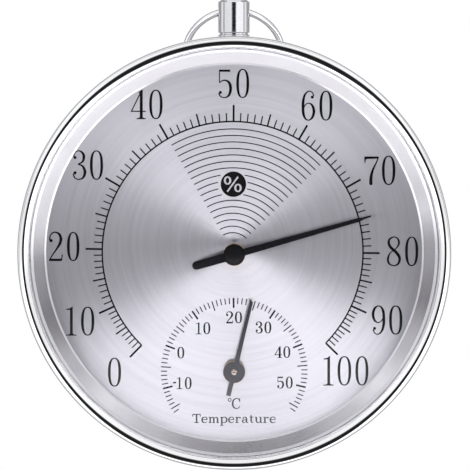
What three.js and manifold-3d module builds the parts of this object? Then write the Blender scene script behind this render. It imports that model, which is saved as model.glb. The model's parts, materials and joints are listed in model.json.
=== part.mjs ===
// An outdoor wall thermometer with a humidity dial: a spun steel case with a crimped
// bezel, two coil movements behind one brushed dial, and a hanging ring on a turned knob.
// Millimetres, +Z up. The dial faces -Y and the flat back lies in the plane Y = 0.
// "Depth" below is the distance from that back plane towards the viewer, so depth = -Y.
import * as THREE from "three";
import { mergeVertices } from "three/addons/utils/BufferGeometryUtils.js";
import Module from "manifold-3d";

const wasm = await Module();
wasm.setup();

// Bezel and case
const bezelRadius = 66;
const bezelWall = 0.8;
const beadRadius = 2;
const beadRise = 0.3;
const crimpWidth = 3;
const caseDepth = 17;
const caseWall = 0.8;
const caseLipWidth = 2.9;
const caseCornerRadius = 4;

// What the bezel clamps on the case lip, from the back to the front
const stackClearance = 0.3;
const dialThickness = 0.6;
const reflectorDepth = 5.8;
const reflectorWall = 0.6;
const reflectorFootWidth = 7.6;
const reflectorRimWidth = 3.8;
const lensThickness = 1.8;
const gasketThickness = 0.5;
const gasketWidth = 2.6;

// Openings in the back
const ventCount = 8;
const ventRadius = 1.5;
const ventCircleRadius = 22;
const ventTurnShare = 0.5;
const adjustingSlotLength = 8;
const adjustingSlotWidth = 3;

// Humidity scale: degrees clockwise from the top for each ten per cent
const humidityScaleMargin = 17.7;
const humidityDecadeDegrees = [-136, -115, -89, -60, -30, 0, 30, 60, 90, 114, 134];
const ticksPerDecade = 10;
const humidityMinorTick = 2.6;
const humidityFiveTick = 3.7;
const humidityTenTick = 5.1;
const minorTickWidth = 0.3;
const majorTickWidth = 0.5;
const scaleLineWidth = 0.35;
const markRelief = 0.15;

// Comfort fan: arcs from 40 to 65 per cent, evenly spaced out to the scale
const fanLineCount = 17;
const fanFirstRadius = 6.05;
const fanLineWidth = 0.3;
const fanStartDegrees = -30;
const fanEndDegrees = 45;
const percentDiscRadius = 3.9;
const percentDiscHeight = 20.7;
const percentDiscMargin = 0.7;

// Temperature scale: clockwise from the top, where twenty degrees stands
const temperatureScaleTopDrop = 13.6;
const temperatureScaleMargin = 8.7;
const temperatureLowest = -16;
const temperatureHighest = 56;
const temperatureAtTop = 20;
const celsiusPerMajorTick = 5;
const celsiusPerNumeral = 10;
const degreesPerCelsius = 3.475;
const temperatureMinorTick = 1.9;
const temperatureMajorTick = 3.05;

// Hands, and the reading each one rests at
const pivotDrop = 0.7;
const handThickness = 0.5;
const handHubRadius = 3.3;
const handRise = 0.6;
const handClearance = 0.4;
const humidityRestDegrees = 74.3;
const humidityHandReach = 0.8;
const humidityBladeRootWidth = 2.04;
const humidityBladeNeckWidth = 1.2;
const humidityPointLength = 4;
const humidityTailLength = 13.25;
const humidityTailWidth = 2.6;
const humidityCapHeight = 0.9;
const temperatureRestDegrees = 13.9;
const temperatureBladeRootWidth = 1.25;
const temperatureBladeTipWidth = 0.9;
const temperatureTailLength = 7.4;
const temperatureTailWidth = 1.3;
const temperatureArborStandOut = 0.3;

// Coil movements, one for each hand
const runningClearance = 0.1;
const arborRadius = 0.85;
const arborPivotRadius = 0.4;
const arborPivotLength = 1.1;
const arborCentreRadius = 0.27;
const arborCentreDepth = 0.3;
const bushFlangeRadius = 3.4;
const bushFlangeThickness = 0.6;
const bushBarrelRadius = 2.4;
const bushRivetRadius = 3.1;
const bushRivetThickness = 0.5;
const bracketThickness = 0.8;
const bracketWidth = 9;
const bracketLegClearance = 3.1;
const bracketEndMargin = 1.2;
const screwHeadClearance = 0.7;
const screwHeadRadius = 2.1;
const screwHeadThickness = 0.9;
const screwShankRadius = 1.25;
const screwShankLength = 2.9;
const screwSlotWidth = 0.5;
const screwSlotDepth = 0.4;
const adjusterThickness = 0.8;
const adjusterRadius = 3.2;
const adjusterArmWidth = 2.6;
const adjusterArmReach = 2;
const adjusterTabLength = 1.6;
const adjusterGap = 0.3;
const coilWidth = 5;
const coilThickness = 0.4;
const coilPitch = 1.4;
const coilTurns = 4.5;
const coilLift = 2.2;
const coilGap = 0.3;
const colletRadius = 1.9;
const colletOverhang = 0.3;
const coilPinRadius = 0.6;
const coilPinOverhang = 0.3;

// Hanger
const hangerDepth = 6;
const knobRadius = 4.92;
const knobHeight = 10;
const knobEdgeRadius = 0.5;
const knobShoulderHeight = 1.7;
const knobShoulderInset = 0.7;
const knobCrownHeight = 1.3;
const knobCrownInset = 0.32;
const knobGrooveHeight = 0.7;
const knobGrooveDepth = 0.5;
const crossHoleDrop = 3.1;
const crossHoleClearance = 0.33;
const saddleHeight = 4.4;
const studRadius = 2;
const studOverhang = 0.6;
const studClearance = 0.2;
const seatGap = 0.3;
const innerWasherRadius = 3.9;
const innerWasherDrop = 2.4;
const nutSides = 6;
const nutAcrossFlats = 7;
const nutHeight = 3.2;
const ringRadius = 14.9;
const ringWireRadius = 1.05;

// How finely round shapes are divided, and how far a cut runs past a face
const caseSides = 60;
const turnedSides = 20;
const smallSides = 12;
const beadSteps = 6;
const cornerSteps = 4;
const edgeSteps = 2;
const domeSteps = 4;
const scaleLineSteps = 30;
const fanStepDegrees = 15;
const coilStepsPerTurn = 16;
const ringSteps = 36;
const wireSides = 8;
const leanHalvings = 20;
const overrun = 1;
const weldDistance = 1e-4;

// Places that follow from the sizes above
const DEG = Math.PI / 180;
const stackRadius = bezelRadius - bezelWall - stackClearance;
const caseRadius = stackRadius - caseLipWidth;
const dialFront = caseDepth + dialThickness;
const lensBack = dialFront + reflectorDepth;
const lensFront = lensBack + lensThickness;
const gasketFront = lensFront + gasketThickness;
const beadDepth = gasketFront + beadRise;
const crimpFront = caseDepth - caseWall;
const crimpBack = crimpFront - bezelWall;
const reflectorFootRadius = stackRadius - reflectorFootWidth;
const humidityScaleRadius = reflectorFootRadius - humidityScaleMargin;
const fanPitch = (humidityScaleRadius - fanFirstRadius) / fanLineCount;
const temperatureEndDegrees = (temperatureHighest - temperatureAtTop) * degreesPerCelsius;
const temperatureScaleHeight = reflectorFootRadius - temperatureScaleMargin - temperatureScaleTopDrop;
const temperatureScaleRadius = temperatureScaleHeight / (1 - Math.cos(temperatureEndDegrees * DEG));
const temperatureScaleDrop = temperatureScaleTopDrop + temperatureScaleRadius;
const bracketFront = caseDepth - bracketThickness;
const bracketRear = caseWall + screwHeadClearance + screwHeadThickness;
const bracketBack = bracketRear + bracketThickness;
const adjusterBack = bracketBack + adjusterGap;
const adjusterFront = adjusterBack + adjusterThickness;
const coilBack = adjusterFront + coilLift;
const coilFront = coilBack + coilWidth;
const coilInnerRadius = colletRadius + coilGap + coilThickness / 2;
const coilOuterRadius = coilInnerRadius + coilPitch * coilTurns;
const coilPinOffset = coilOuterRadius + coilThickness / 2 + coilGap + coilPinRadius;
const adjusterArmLength = coilPinOffset + adjusterArmReach;
const bracketLegOffset = coilOuterRadius + bracketLegClearance + bracketThickness;
const screwShankFront = bracketRear + screwShankLength;
const bushFront = dialFront + bushFlangeThickness;
const temperatureHandBack = bushFront + handRise;
const temperatureArborTip = temperatureHandBack + handThickness + temperatureArborStandOut;
const humidityHandBack = temperatureArborTip + handClearance;
const humidityArborTip = humidityHandBack + handThickness;
const saddleTop = caseRadius + saddleHeight;
const nutTop = caseRadius - innerWasherDrop;
const nutBottom = nutTop - nutHeight;
const studEnd = nutBottom - studOverhang;
const knobCrownRadius = knobRadius - knobShoulderInset - knobCrownInset;
const crossHoleZ = saddleTop + knobHeight - crossHoleDrop;
const ringBow = ringRadius - Math.sqrt(ringRadius ** 2 - knobRadius ** 2);
const crossHoleRadius = ringWireRadius + ringBow / 2 + crossHoleClearance;

// Materials
function finish(color, roughness, metalness) {
  return new THREE.MeshStandardMaterial({ color, roughness, metalness });
}
const polishedSteel = finish(0xd9d9dc, 0.12, 1);
const brushedAluminium = finish(0xc4c5cb, 0.35, 1);
const satinAluminium = finish(0xe2e2e6, 0.3, 1);
const blackPaint = finish(0x0b0b0d, 0.45, 0);
const greyPaint = finish(0x4d4d54, 0.5, 0);
const brass = finish(0xb5925a, 0.3, 1);
const steel = finish(0x9a9ba0, 0.35, 1);
const blackRubber = finish(0x161616, 0.8, 0);
const clearGlass = finish(0xf4f7f8, 0.03, 0);
clearGlass.transparent = true;
clearGlass.opacity = 0.2;

// Solids and geometries
function solid(geometry) {
  const bare = geometry.clone();
  bare.deleteAttribute("normal");
  bare.deleteAttribute("uv");
  const merged = mergeVertices(bare, weldDistance);
  return new wasm.Manifold(
    new wasm.Mesh({
      numProp: 3,
      vertProperties: merged.attributes.position.array,
      triVerts: merged.index.array,
    }),
  );
}

function geometryOf(manifold) {
  const mesh = manifold.getMesh();
  const geometry = new THREE.BufferGeometry();
  geometry.setAttribute("position", new THREE.BufferAttribute(mesh.vertProperties, 3));
  geometry.setIndex(new THREE.BufferAttribute(mesh.triVerts, 1));
  geometry.computeVertexNormals();
  return geometry;
}

function joined(geometries) {
  return geometryOf(geometries.map(solid).reduce((whole, next) => whole.add(next)));
}

function cutBy(geometry, cutters) {
  const body = solid(geometry);
  return geometryOf(cutters.map(solid).reduce((whole, cutter) => whole.subtract(cutter), body));
}

// Points of an arc in a profile, from one angle to another in degrees
function arc(x, y, radius, from, to, steps) {
  return Array.from({ length: steps + 1 }, (unused, i) => {
    const angle = (from + ((to - from) * i) / steps) * DEG;
    return [x + radius * Math.cos(angle), y + radius * Math.sin(angle)];
  });
}

// A quarter of an ellipse in a profile, from its rim to its top on the axis
function dome(radius, height, base) {
  return Array.from({ length: domeSteps + 1 }, (unused, i) => {
    const angle = ((i / domeSteps) * Math.PI) / 2;
    return [i === domeSteps ? 0 : radius * Math.cos(angle), base + height * Math.sin(angle)];
  });
}

// Twice the signed area of a profile, which says which way round it runs
function winding(points) {
  return points.reduce((sum, [x, y], i) => {
    const [nextX, nextY] = points[(i + 1) % points.length];
    return sum + x * nextY - nextX * y;
  }, 0);
}

// Turns a profile of [radius, depth] points round the dial's axis
function turned(points, sides = turnedSides) {
  const outward = winding(points) > 0 ? points : [...points].reverse();
  const closed = outward.every(([radius]) => radius > 0);
  const profile = (closed ? [...outward, outward[0]] : startOnAxis(outward)).map(
    ([radius, depth]) => new THREE.Vector2(radius, depth),
  );
  return new THREE.LatheGeometry(profile, sides).rotateX(Math.PI);
}

// Shifts a profile round so that the stretch along the axis is the one left open
function startOnAxis(points) {
  const last = points.findIndex(
    ([radius], i) => radius === 0 && points[(i + 1) % points.length][0] === 0,
  );
  return [...points.slice(last + 1), ...points.slice(0, last + 1)];
}

function shapeOf(points) {
  return new THREE.Shape(points.map(([x, y]) => new THREE.Vector2(x, y)));
}

// A flat plate drawn as seen from the front, from one depth to a nearer one
function plate(shape, back, front, curveSegments = turnedSides) {
  return new THREE.ExtrudeGeometry(shape, { depth: front - back, bevelEnabled: false, curveSegments })
    .rotateX(Math.PI / 2)
    .translate(0, -back, 0);
}

function disc(radius, back, front, sides = turnedSides) {
  return turned([[0, back], [radius, back], [radius, front], [0, front]], sides);
}

function tube(innerRadius, outerRadius, back, front, sides = turnedSides) {
  return turned(
    [[innerRadius, back], [outerRadius, back], [outerRadius, front], [innerRadius, front]],
    sides,
  );
}

function rectangle(left, right, bottom, top) {
  return shapeOf([[left, bottom], [right, bottom], [right, top], [left, top]]);
}

function stadium(length, width) {
  const reach = (length - width) / 2;
  const end = width / 2;
  return shapeOf([
    ...arc(reach, 0, end, -90, 90, smallSides / 2),
    ...arc(-reach, 0, end, 90, 270, smallSides / 2),
  ]);
}

function piece(name, geometry, material, parent) {
  const mesh = new THREE.Mesh(geometry, material);
  mesh.name = name;
  parent.add(mesh);
  return mesh;
}

// The case's own outline, moved out by a gap, or in when the gap is negative
function caseOutline(gap) {
  const corner = caseCornerRadius + gap;
  return arc(caseRadius - caseCornerRadius, caseCornerRadius, corner, -90, 0, cornerSteps);
}

function rearCase() {
  const inner = caseOutline(-caseWall).reverse();
  const body = turned(
    [
      [0, 0],
      ...caseOutline(0),
      [caseRadius, crimpFront],
      [stackRadius, crimpFront],
      [stackRadius, caseDepth],
      [caseRadius - caseWall, caseDepth],
      ...inner,
      [0, caseWall],
    ],
    caseSides,
  );
  const vents = Array.from({ length: ventCount }, (unused, i) => {
    const angle = ((i + ventTurnShare) / ventCount) * 2 * Math.PI;
    return disc(ventRadius, -overrun, caseWall + overrun, smallSides).translate(
      ventCircleRadius * Math.sin(angle),
      0,
      ventCircleRadius * Math.cos(angle),
    );
  });
  const slots = [-pivotDrop, -temperatureScaleDrop - pivotDrop].map((pivotZ) =>
    plate(stadium(adjustingSlotLength, adjustingSlotWidth), -overrun, caseWall + overrun)
      .rotateY(Math.PI / 2)
      .translate(adjusterArmLength - adjusterThickness / 2, 0, pivotZ),
  );
  const studHole = upright(studRadius + studClearance, studEnd, saddleTop);
  return cutBy(body, [...vents, ...slots, studHole]);
}

// A cylinder along Z through the hanger's axis
function upright(radius, bottom, top, sides = turnedSides) {
  return new THREE.CylinderGeometry(radius, radius, top - bottom, sides)
    .rotateX(Math.PI / 2)
    .translate(0, -hangerDepth, (bottom + top) / 2);
}

function frontBezel() {
  const beadCentre = bezelRadius - beadRadius;
  const lipInner = bezelRadius - 2 * beadRadius;
  const inside = bezelRadius - bezelWall;
  return turned(
    [
      [bezelRadius - crimpWidth, crimpBack],
      ...arc(inside, crimpFront, bezelWall, -90, 0, edgeSteps),
      ...arc(beadCentre, beadDepth, beadRadius, 0, 180, beadSteps),
      [lipInner, gasketFront],
      [lipInner + bezelWall, gasketFront],
      ...arc(beadCentre, beadDepth, beadRadius - bezelWall, 180, 0, beadSteps / 2),
      [inside, crimpFront],
      [bezelRadius - crimpWidth, crimpFront],
    ],
    caseSides,
  );
}

function reflectorRing() {
  const shoulder = stackRadius - reflectorRimWidth;
  return turned(
    [
      [reflectorFootRadius, dialFront],
      [shoulder, lensBack],
      [stackRadius, lensBack],
      [stackRadius, dialFront],
      [stackRadius - reflectorWall, dialFront],
      [stackRadius - reflectorWall, lensBack - reflectorWall],
      [shoulder + reflectorWall, lensBack - reflectorWall],
      [reflectorFootRadius + reflectorWall, dialFront],
    ],
    caseSides,
  );
}

// A tick that starts on a circle and runs outwards, or inwards when its length is negative
function tick(radius, length, width, degrees, centreZ) {
  return new THREE.BoxGeometry(width, markRelief + dialThickness / 2, Math.abs(length))
    .translate(0, -dialFront - (markRelief - dialThickness / 2) / 2, radius + length / 2)
    .rotateY(degrees * DEG)
    .translate(0, 0, centreZ);
}

// A raised line along an arc, in degrees clockwise from the top
function arcLine(radius, width, from, to, steps) {
  const outer = arc(0, 0, radius + width / 2, 90 - from, 90 - to, steps);
  const inner = arc(0, 0, radius - width / 2, 90 - to, 90 - from, steps);
  return plate(shapeOf([...outer, ...inner]), dialFront - dialThickness / 2, dialFront + markRelief);
}

function humidityTicks() {
  const ticks = [];
  humidityDecadeDegrees.forEach((start, decade) => {
    const next = humidityDecadeDegrees[decade + 1];
    ticks.push(tick(humidityScaleRadius, humidityTenTick, majorTickWidth, start, 0));
    if (next === undefined) return;
    for (let i = 1; i < ticksPerDecade; i++) {
      const five = i === ticksPerDecade / 2;
      const length = five ? humidityFiveTick : humidityMinorTick;
      const width = five ? majorTickWidth : minorTickWidth;
      const degrees = start + ((next - start) * i) / ticksPerDecade;
      ticks.push(tick(humidityScaleRadius, length, width, degrees, 0));
    }
  });
  return ticks;
}

function temperatureTicks() {
  const ticks = [];
  for (let celsius = temperatureLowest; celsius <= temperatureHighest; celsius++) {
    const major = celsius % celsiusPerMajorTick === 0;
    const length = major ? temperatureMajorTick : temperatureMinorTick;
    const width = celsius % celsiusPerNumeral === 0 ? majorTickWidth : minorTickWidth;
    const degrees = (celsius - temperatureAtTop) * degreesPerCelsius;
    ticks.push(tick(temperatureScaleRadius, -length, width, degrees, -temperatureScaleDrop));
  }
  return ticks;
}

// The stretches of one of the fan's arcs, which is broken where it would run into the percent disc
function fanSpans(radius) {
  const height = percentDiscHeight;
  const clear = percentDiscRadius + percentDiscMargin;
  const cosine = (radius ** 2 + height ** 2 - clear ** 2) / (2 * radius * height);
  if (cosine >= 1) return [[fanStartDegrees, fanEndDegrees]];
  const gap = Math.acos(cosine) / DEG;
  return [[fanStartDegrees, -gap], [gap, fanEndDegrees]];
}

function fanLines() {
  return Array.from({ length: fanLineCount }, (unused, i) => {
    const radius = fanFirstRadius + fanPitch * i;
    return fanSpans(radius).map(([from, to]) =>
      arcLine(radius, fanLineWidth, from, to, Math.ceil((to - from) / fanStepDegrees)),
    );
  }).flat();
}

function dialPlate() {
  const first = humidityDecadeDegrees[0];
  const last = humidityDecadeDegrees[humidityDecadeDegrees.length - 1];
  const percentDisc = disc(percentDiscRadius, dialFront - dialThickness / 2, dialFront + markRelief);
  const marked = joined([
    disc(stackRadius, caseDepth, dialFront, caseSides),
    arcLine(humidityScaleRadius, scaleLineWidth, first, last, scaleLineSteps),
    ...humidityTicks(),
    ...temperatureTicks(),
    ...fanLines(),
    percentDisc.translate(0, 0, percentDiscHeight),
  ]);
  const holeRadius = bushBarrelRadius + runningClearance;
  const holes = [-pivotDrop, -temperatureScaleDrop - pivotDrop].map((pivotZ) =>
    disc(holeRadius, caseDepth - overrun, dialFront + overrun).translate(0, 0, pivotZ),
  );
  return cutBy(marked, holes);
}

// Brass bush, riveted through the dial and the bracket behind it
function bush() {
  const bore = arborRadius + runningClearance;
  return turned([
    [bore, bracketFront - bushRivetThickness],
    [bushRivetRadius, bracketFront - bushRivetThickness],
    [bushRivetRadius, bracketFront],
    [bushBarrelRadius, bracketFront],
    [bushBarrelRadius, dialFront],
    [bushFlangeRadius, dialFront],
    [bushFlangeRadius, bushFront],
    [bore, bushFront],
  ]);
}

// A strip bent into a C: a front plate on the dial, a leg, and a rear plate for the screw
function bracket() {
  const left = -bracketLegOffset;
  const right = bushRivetRadius + bracketEndMargin;
  const outline = [
    [left, -caseDepth],
    [right, -caseDepth],
    [right, -bracketFront],
    [left + bracketThickness, -bracketFront],
    [left + bracketThickness, -bracketBack],
    [right, -bracketBack],
    [right, -bracketRear],
    [left, -bracketRear],
  ];
  const body = new THREE.ExtrudeGeometry(shapeOf(outline), { depth: bracketWidth, bevelEnabled: false });
  body.translate(0, 0, -bracketWidth / 2);
  const bushHoleRadius = bushBarrelRadius + runningClearance;
  const screwHoleRadius = screwShankRadius + runningClearance;
  const bushHole = disc(bushHoleRadius, bracketFront - overrun, caseDepth + overrun);
  const screwHole = disc(screwHoleRadius, bracketRear - overrun, bracketBack + overrun);
  return cutBy(body, [bushHole, screwHole]);
}

// Rear bearing: the screw's nose holds the arbor's pivot in a blind bore
function pivotScrew() {
  const headBack = bracketRear - screwHeadThickness;
  const boreBack = screwShankFront - arborPivotLength - runningClearance;
  const bore = arborPivotRadius + runningClearance;
  const body = turned([
    [0, headBack],
    [screwHeadRadius, headBack],
    [screwHeadRadius, bracketRear],
    [screwShankRadius, bracketRear],
    [screwShankRadius, screwShankFront],
    [bore, screwShankFront],
    [bore, boreBack],
    [0, boreBack],
  ]);
  const slot = new THREE.BoxGeometry(2 * screwHeadRadius + overrun, 2 * screwSlotDepth, screwSlotWidth);
  slot.translate(0, -headBack, 0);
  return cutBy(body, [slot]);
}

function arbor(tip, centreDepth) {
  const shoulder = screwShankFront + runningClearance;
  const centre = [[arborCentreRadius, tip], [arborCentreRadius, tip - centreDepth]];
  return turned([
    [0, screwShankFront - arborPivotLength],
    [arborPivotRadius, screwShankFront - arborPivotLength],
    [arborPivotRadius, shoulder],
    [arborRadius, shoulder],
    [arborRadius, tip],
    ...(centreDepth ? centre : []),
    [0, tip - centreDepth],
  ]);
}

// Lever that turns on the screw's shank and carries the coil's outer end. Its bent tab
// stands behind the slot in the case's back.
function adjuster() {
  const hub = disc(adjusterRadius, adjusterBack, adjusterFront);
  const arm = plate(
    rectangle(0, adjusterArmLength, -adjusterArmWidth / 2, adjusterArmWidth / 2),
    adjusterBack,
    adjusterFront,
  );
  const tab = plate(
    rectangle(
      adjusterArmLength - adjusterThickness,
      adjusterArmLength,
      -adjusterArmWidth / 2,
      adjusterArmWidth / 2,
    ),
    adjusterBack - adjusterTabLength,
    adjusterFront,
  );
  const holes = [screwShankRadius, coilPinRadius].map((radius) =>
    disc(radius + runningClearance, adjusterBack - overrun, adjusterFront + overrun),
  );
  holes[1].translate(coilPinOffset, 0, 0);
  return cutBy(joined([hub, arm, tab]), holes);
}

// Middle of the coil strip, as an angle in turns from its inner end
function coilPoint(turn, offset) {
  const radius = coilInnerRadius + coilPitch * turn + offset;
  const angle = (turn - coilTurns) * 2 * Math.PI;
  return [radius * Math.cos(angle), radius * Math.sin(angle)];
}

function coil() {
  const steps = Math.round(coilTurns * coilStepsPerTurn);
  const turns = Array.from({ length: steps + 1 }, (unused, i) => (coilTurns * i) / steps);
  const outer = turns.map((turn) => coilPoint(turn, coilThickness / 2));
  const inner = turns.map((turn) => coilPoint(turn, -coilThickness / 2)).reverse();
  return plate(shapeOf([...outer, ...inner]), coilBack, coilFront);
}

// Least gap between two neighbouring turns of the coil, measured on its points
function leastCoilGap() {
  let least = Infinity;
  for (let i = 0; i <= coilStepsPerTurn * (coilTurns - 1); i++) {
    const turn = i / coilStepsPerTurn;
    const [x, y] = coilPoint(turn, coilThickness / 2);
    const [nextX, nextY] = coilPoint(turn + 1, -coilThickness / 2);
    least = Math.min(least, Math.hypot(nextX - x, nextY - y));
  }
  return least;
}
console.log("least gap between the coil's turns: " + leastCoilGap().toFixed(2) + " mm");

function collet() {
  const bore = arborRadius + runningClearance;
  return tube(bore, colletRadius, coilBack - colletOverhang, coilFront + colletOverhang);
}

function coilPin() {
  const front = coilFront + coilPinOverhang;
  return disc(coilPinRadius, adjusterBack, front, smallSides).translate(coilPinOffset, 0, 0);
}

// A hand drawn pointing up: hub, blade and tail in one flat sheet
function hand(blade, tail, back) {
  const front = back + handThickness;
  const hub = disc(handHubRadius, back, front);
  const sheet = joined([hub, plate(blade, back, front), plate(tail, back, front)]);
  return cutBy(sheet, [disc(arborRadius + runningClearance, back - overrun, front + overrun)]);
}

function humidityPointer() {
  const length = humidityScaleRadius + humidityMinorTick + humidityHandReach;
  const root = humidityBladeRootWidth / 2;
  const neck = humidityBladeNeckWidth / 2;
  const blade = shapeOf([
    [-root, 0],
    [root, 0],
    [neck, length - humidityPointLength],
    [0, length],
    [-neck, length - humidityPointLength],
  ]);
  const end = humidityTailWidth / 2;
  const tail = shapeOf([
    [end, 0],
    [-end, 0],
    ...arc(0, end - humidityTailLength, end, 180, 360, smallSides / 2),
  ]);
  return hand(blade, tail, humidityHandBack);
}

function temperaturePointer() {
  const root = temperatureBladeRootWidth / 2;
  const tip = temperatureBladeTipWidth / 2;
  const blade = shapeOf([
    [-root, 0],
    [root, 0],
    [tip, temperatureScaleRadius],
    [-tip, temperatureScaleRadius],
  ]);
  const tailEdge = temperatureTailWidth / 2;
  const tail = rectangle(-tailEdge, tailEdge, -temperatureTailLength, 0);
  return hand(blade, tail, temperatureHandBack);
}

function pointerCap() {
  return turned([[0, humidityArborTip], ...dome(handHubRadius, humidityCapHeight, humidityArborTip)]);
}

// One movement: the fixed pieces, then what turns with the hand, at its resting angle
function movement(name, pivotZ, restDegrees, pointer, arborShape) {
  const fixed = new THREE.Group();
  fixed.position.z = pivotZ;
  piece(name + "_bush", bush(), brass, fixed);
  piece(name + "_bracket", bracket(), brass, fixed);
  piece(name + "_pivot_screw", pivotScrew(), steel, fixed);
  piece(name + "_adjuster", adjuster(), steel, fixed);
  piece(name + "_coil_pin", coilPin(), brass, fixed);
  piece(name + "_coil", coil(), steel, fixed);
  const turning = new THREE.Group();
  turning.rotation.y = restDegrees * DEG;
  piece(name + "_arbor", arborShape, brass, turning);
  piece(name + "_collet", collet(), brass, turning);
  piece(name + "_pointer", pointer.geometry, pointer.material, turning);
  fixed.add(turning);
  return { fixed, turning };
}

// Profiles of the hanger, as [radius, height above the saddle] points turned round Z
function turnedUpright(points, sides = turnedSides) {
  return turned(points, sides).rotateX(-Math.PI / 2).translate(0, -hangerDepth, saddleTop);
}

function hangerKnob() {
  const edge = knobGrooveHeight + knobEdgeRadius;
  const body = turnedUpright([
    [0, studEnd - saddleTop],
    [studRadius, studEnd - saddleTop],
    [studRadius, 0],
    [knobRadius - knobGrooveDepth, 0],
    [knobRadius - knobGrooveDepth, knobGrooveHeight],
    ...arc(knobRadius - knobEdgeRadius, edge, knobEdgeRadius, -90, 0, edgeSteps),
    [knobRadius, knobHeight - knobShoulderHeight],
    [knobRadius - knobShoulderInset, knobHeight],
    ...dome(knobCrownRadius, knobCrownHeight, knobHeight),
  ]);
  const crossHole = new THREE.CylinderGeometry(
    crossHoleRadius,
    crossHoleRadius,
    2 * knobRadius + overrun,
    turnedSides,
  );
  crossHole.rotateZ(Math.PI / 2).translate(0, -hangerDepth, crossHoleZ);
  return cutBy(body, [crossHole]);
}

// Collar between the knob and the case, with its foot cut to the case's curve
function hangerSaddle() {
  const bottom = caseRadius - caseCornerRadius;
  const body = upright(knobRadius, bottom, saddleTop);
  const caseSpace = turned(
    [[0, -seatGap], ...caseOutline(seatGap), [caseRadius + seatGap, caseDepth], [0, caseDepth]],
    caseSides,
  );
  const bore = upright(studRadius + studClearance, bottom - overrun, saddleTop + overrun);
  return cutBy(body, [caseSpace, bore]);
}

function hangerWasher() {
  const body = upright(innerWasherRadius, nutTop, caseRadius);
  const gap = -caseWall - seatGap;
  const caseInside = turned(
    [[0, caseWall + seatGap], ...caseOutline(gap), [caseRadius + gap, caseDepth], [0, caseDepth]],
    caseSides,
  );
  const bore = upright(studRadius + studClearance, nutTop - overrun, caseRadius + overrun);
  return geometryOf(solid(body).intersect(solid(caseInside)).subtract(solid(bore)));
}

function hangerNut() {
  const halfSide = Math.PI / nutSides;
  const corner = nutAcrossFlats / 2 / Math.cos(halfSide);
  const hexagon = new THREE.CylinderGeometry(corner, corner, nutHeight, nutSides)
    .rotateY(halfSide)
    .rotateX(Math.PI / 2)
    .translate(0, -hangerDepth, (nutTop + nutBottom) / 2);
  const bore = upright(studRadius + runningClearance, nutBottom - overrun, nutTop + overrun);
  return cutBy(hexagon, [bore]);
}

// Least gap between the case's rounded back edge and the wire of a ring that leans back
function ringGap(lean) {
  const edgeRadius = caseRadius - caseCornerRadius;
  const gaps = Array.from({ length: ringSteps }, (unused, i) => {
    const angle = (i / ringSteps) * 2 * Math.PI;
    const drop = ringRadius - ringBow / 2 - ringRadius * Math.cos(angle);
    const depth = hangerDepth - drop * Math.sin(lean);
    const radius = Math.hypot(ringRadius * Math.sin(angle), crossHoleZ - drop * Math.cos(lean));
    const toEdge = Math.hypot(radius - edgeRadius, depth - caseCornerRadius) - caseCornerRadius;
    return (radius > edgeRadius ? toEdge : -depth) - ringWireRadius;
  });
  return Math.min(...gaps);
}

// The lean that brings the ring to rest a seat gap away from the case
function restingLean() {
  let tooUpright = 0;
  let clear = Math.PI / 2;
  for (let i = 0; i < leanHalvings; i++) {
    const middle = (tooUpright + clear) / 2;
    if (ringGap(middle) < seatGap) tooUpright = middle;
    else clear = middle;
  }
  return clear;
}

// Ring through the cross hole. It is centred in the hole half way along its bow, so it can
// swing there, and it leans back over the case's edge at rest.
function hangingRing() {
  const section = Array.from({ length: wireSides }, (unused, i) => {
    const angle = (i / wireSides) * 2 * Math.PI;
    return [ringRadius + ringWireRadius * Math.cos(angle), ringWireRadius * Math.sin(angle)];
  });
  const ring = turned(section, ringSteps).translate(0, 0, ringBow / 2 - ringRadius);
  const hanging = new THREE.Group();
  hanging.position.set(0, -hangerDepth, crossHoleZ);
  hanging.rotation.x = restingLean();
  piece("hanging_ring", ring, polishedSteel, hanging);
  return hanging;
}

// Assembly
const thermometer = new THREE.Group();
piece("rear_case", rearCase(), polishedSteel, thermometer);
piece("front_bezel", frontBezel(), polishedSteel, thermometer);
piece("dial_plate", dialPlate(), brushedAluminium, thermometer);
piece("reflector_ring", reflectorRing(), satinAluminium, thermometer);
piece("lens", disc(stackRadius, lensBack, lensFront, caseSides), clearGlass, thermometer);
piece(
  "lens_gasket",
  tube(stackRadius - gasketWidth, stackRadius, lensFront, gasketFront, caseSides),
  blackRubber,
  thermometer,
);
piece("hanger_knob", hangerKnob(), polishedSteel, thermometer);
piece("hanger_saddle", hangerSaddle(), polishedSteel, thermometer);
piece("hanger_washer", hangerWasher(), steel, thermometer);
piece("hanger_nut", hangerNut(), steel, thermometer);
thermometer.add(hangingRing());

const humidity = movement(
  "humidity",
  -pivotDrop,
  humidityRestDegrees,
  { geometry: humidityPointer(), material: blackPaint },
  arbor(humidityArborTip, 0),
);
piece("humidity_pointer_cap", pointerCap(), blackPaint, humidity.turning);
thermometer.add(humidity.fixed);

const temperature = movement(
  "temperature",
  -temperatureScaleDrop - pivotDrop,
  temperatureRestDegrees,
  { geometry: temperaturePointer(), material: greyPaint },
  arbor(temperatureArborTip, arborCentreDepth),
);
thermometer.add(temperature.fixed);

export default thermometer;
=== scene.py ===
import json
import math

import bmesh
import bpy
from mathutils import Matrix, Vector

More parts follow.
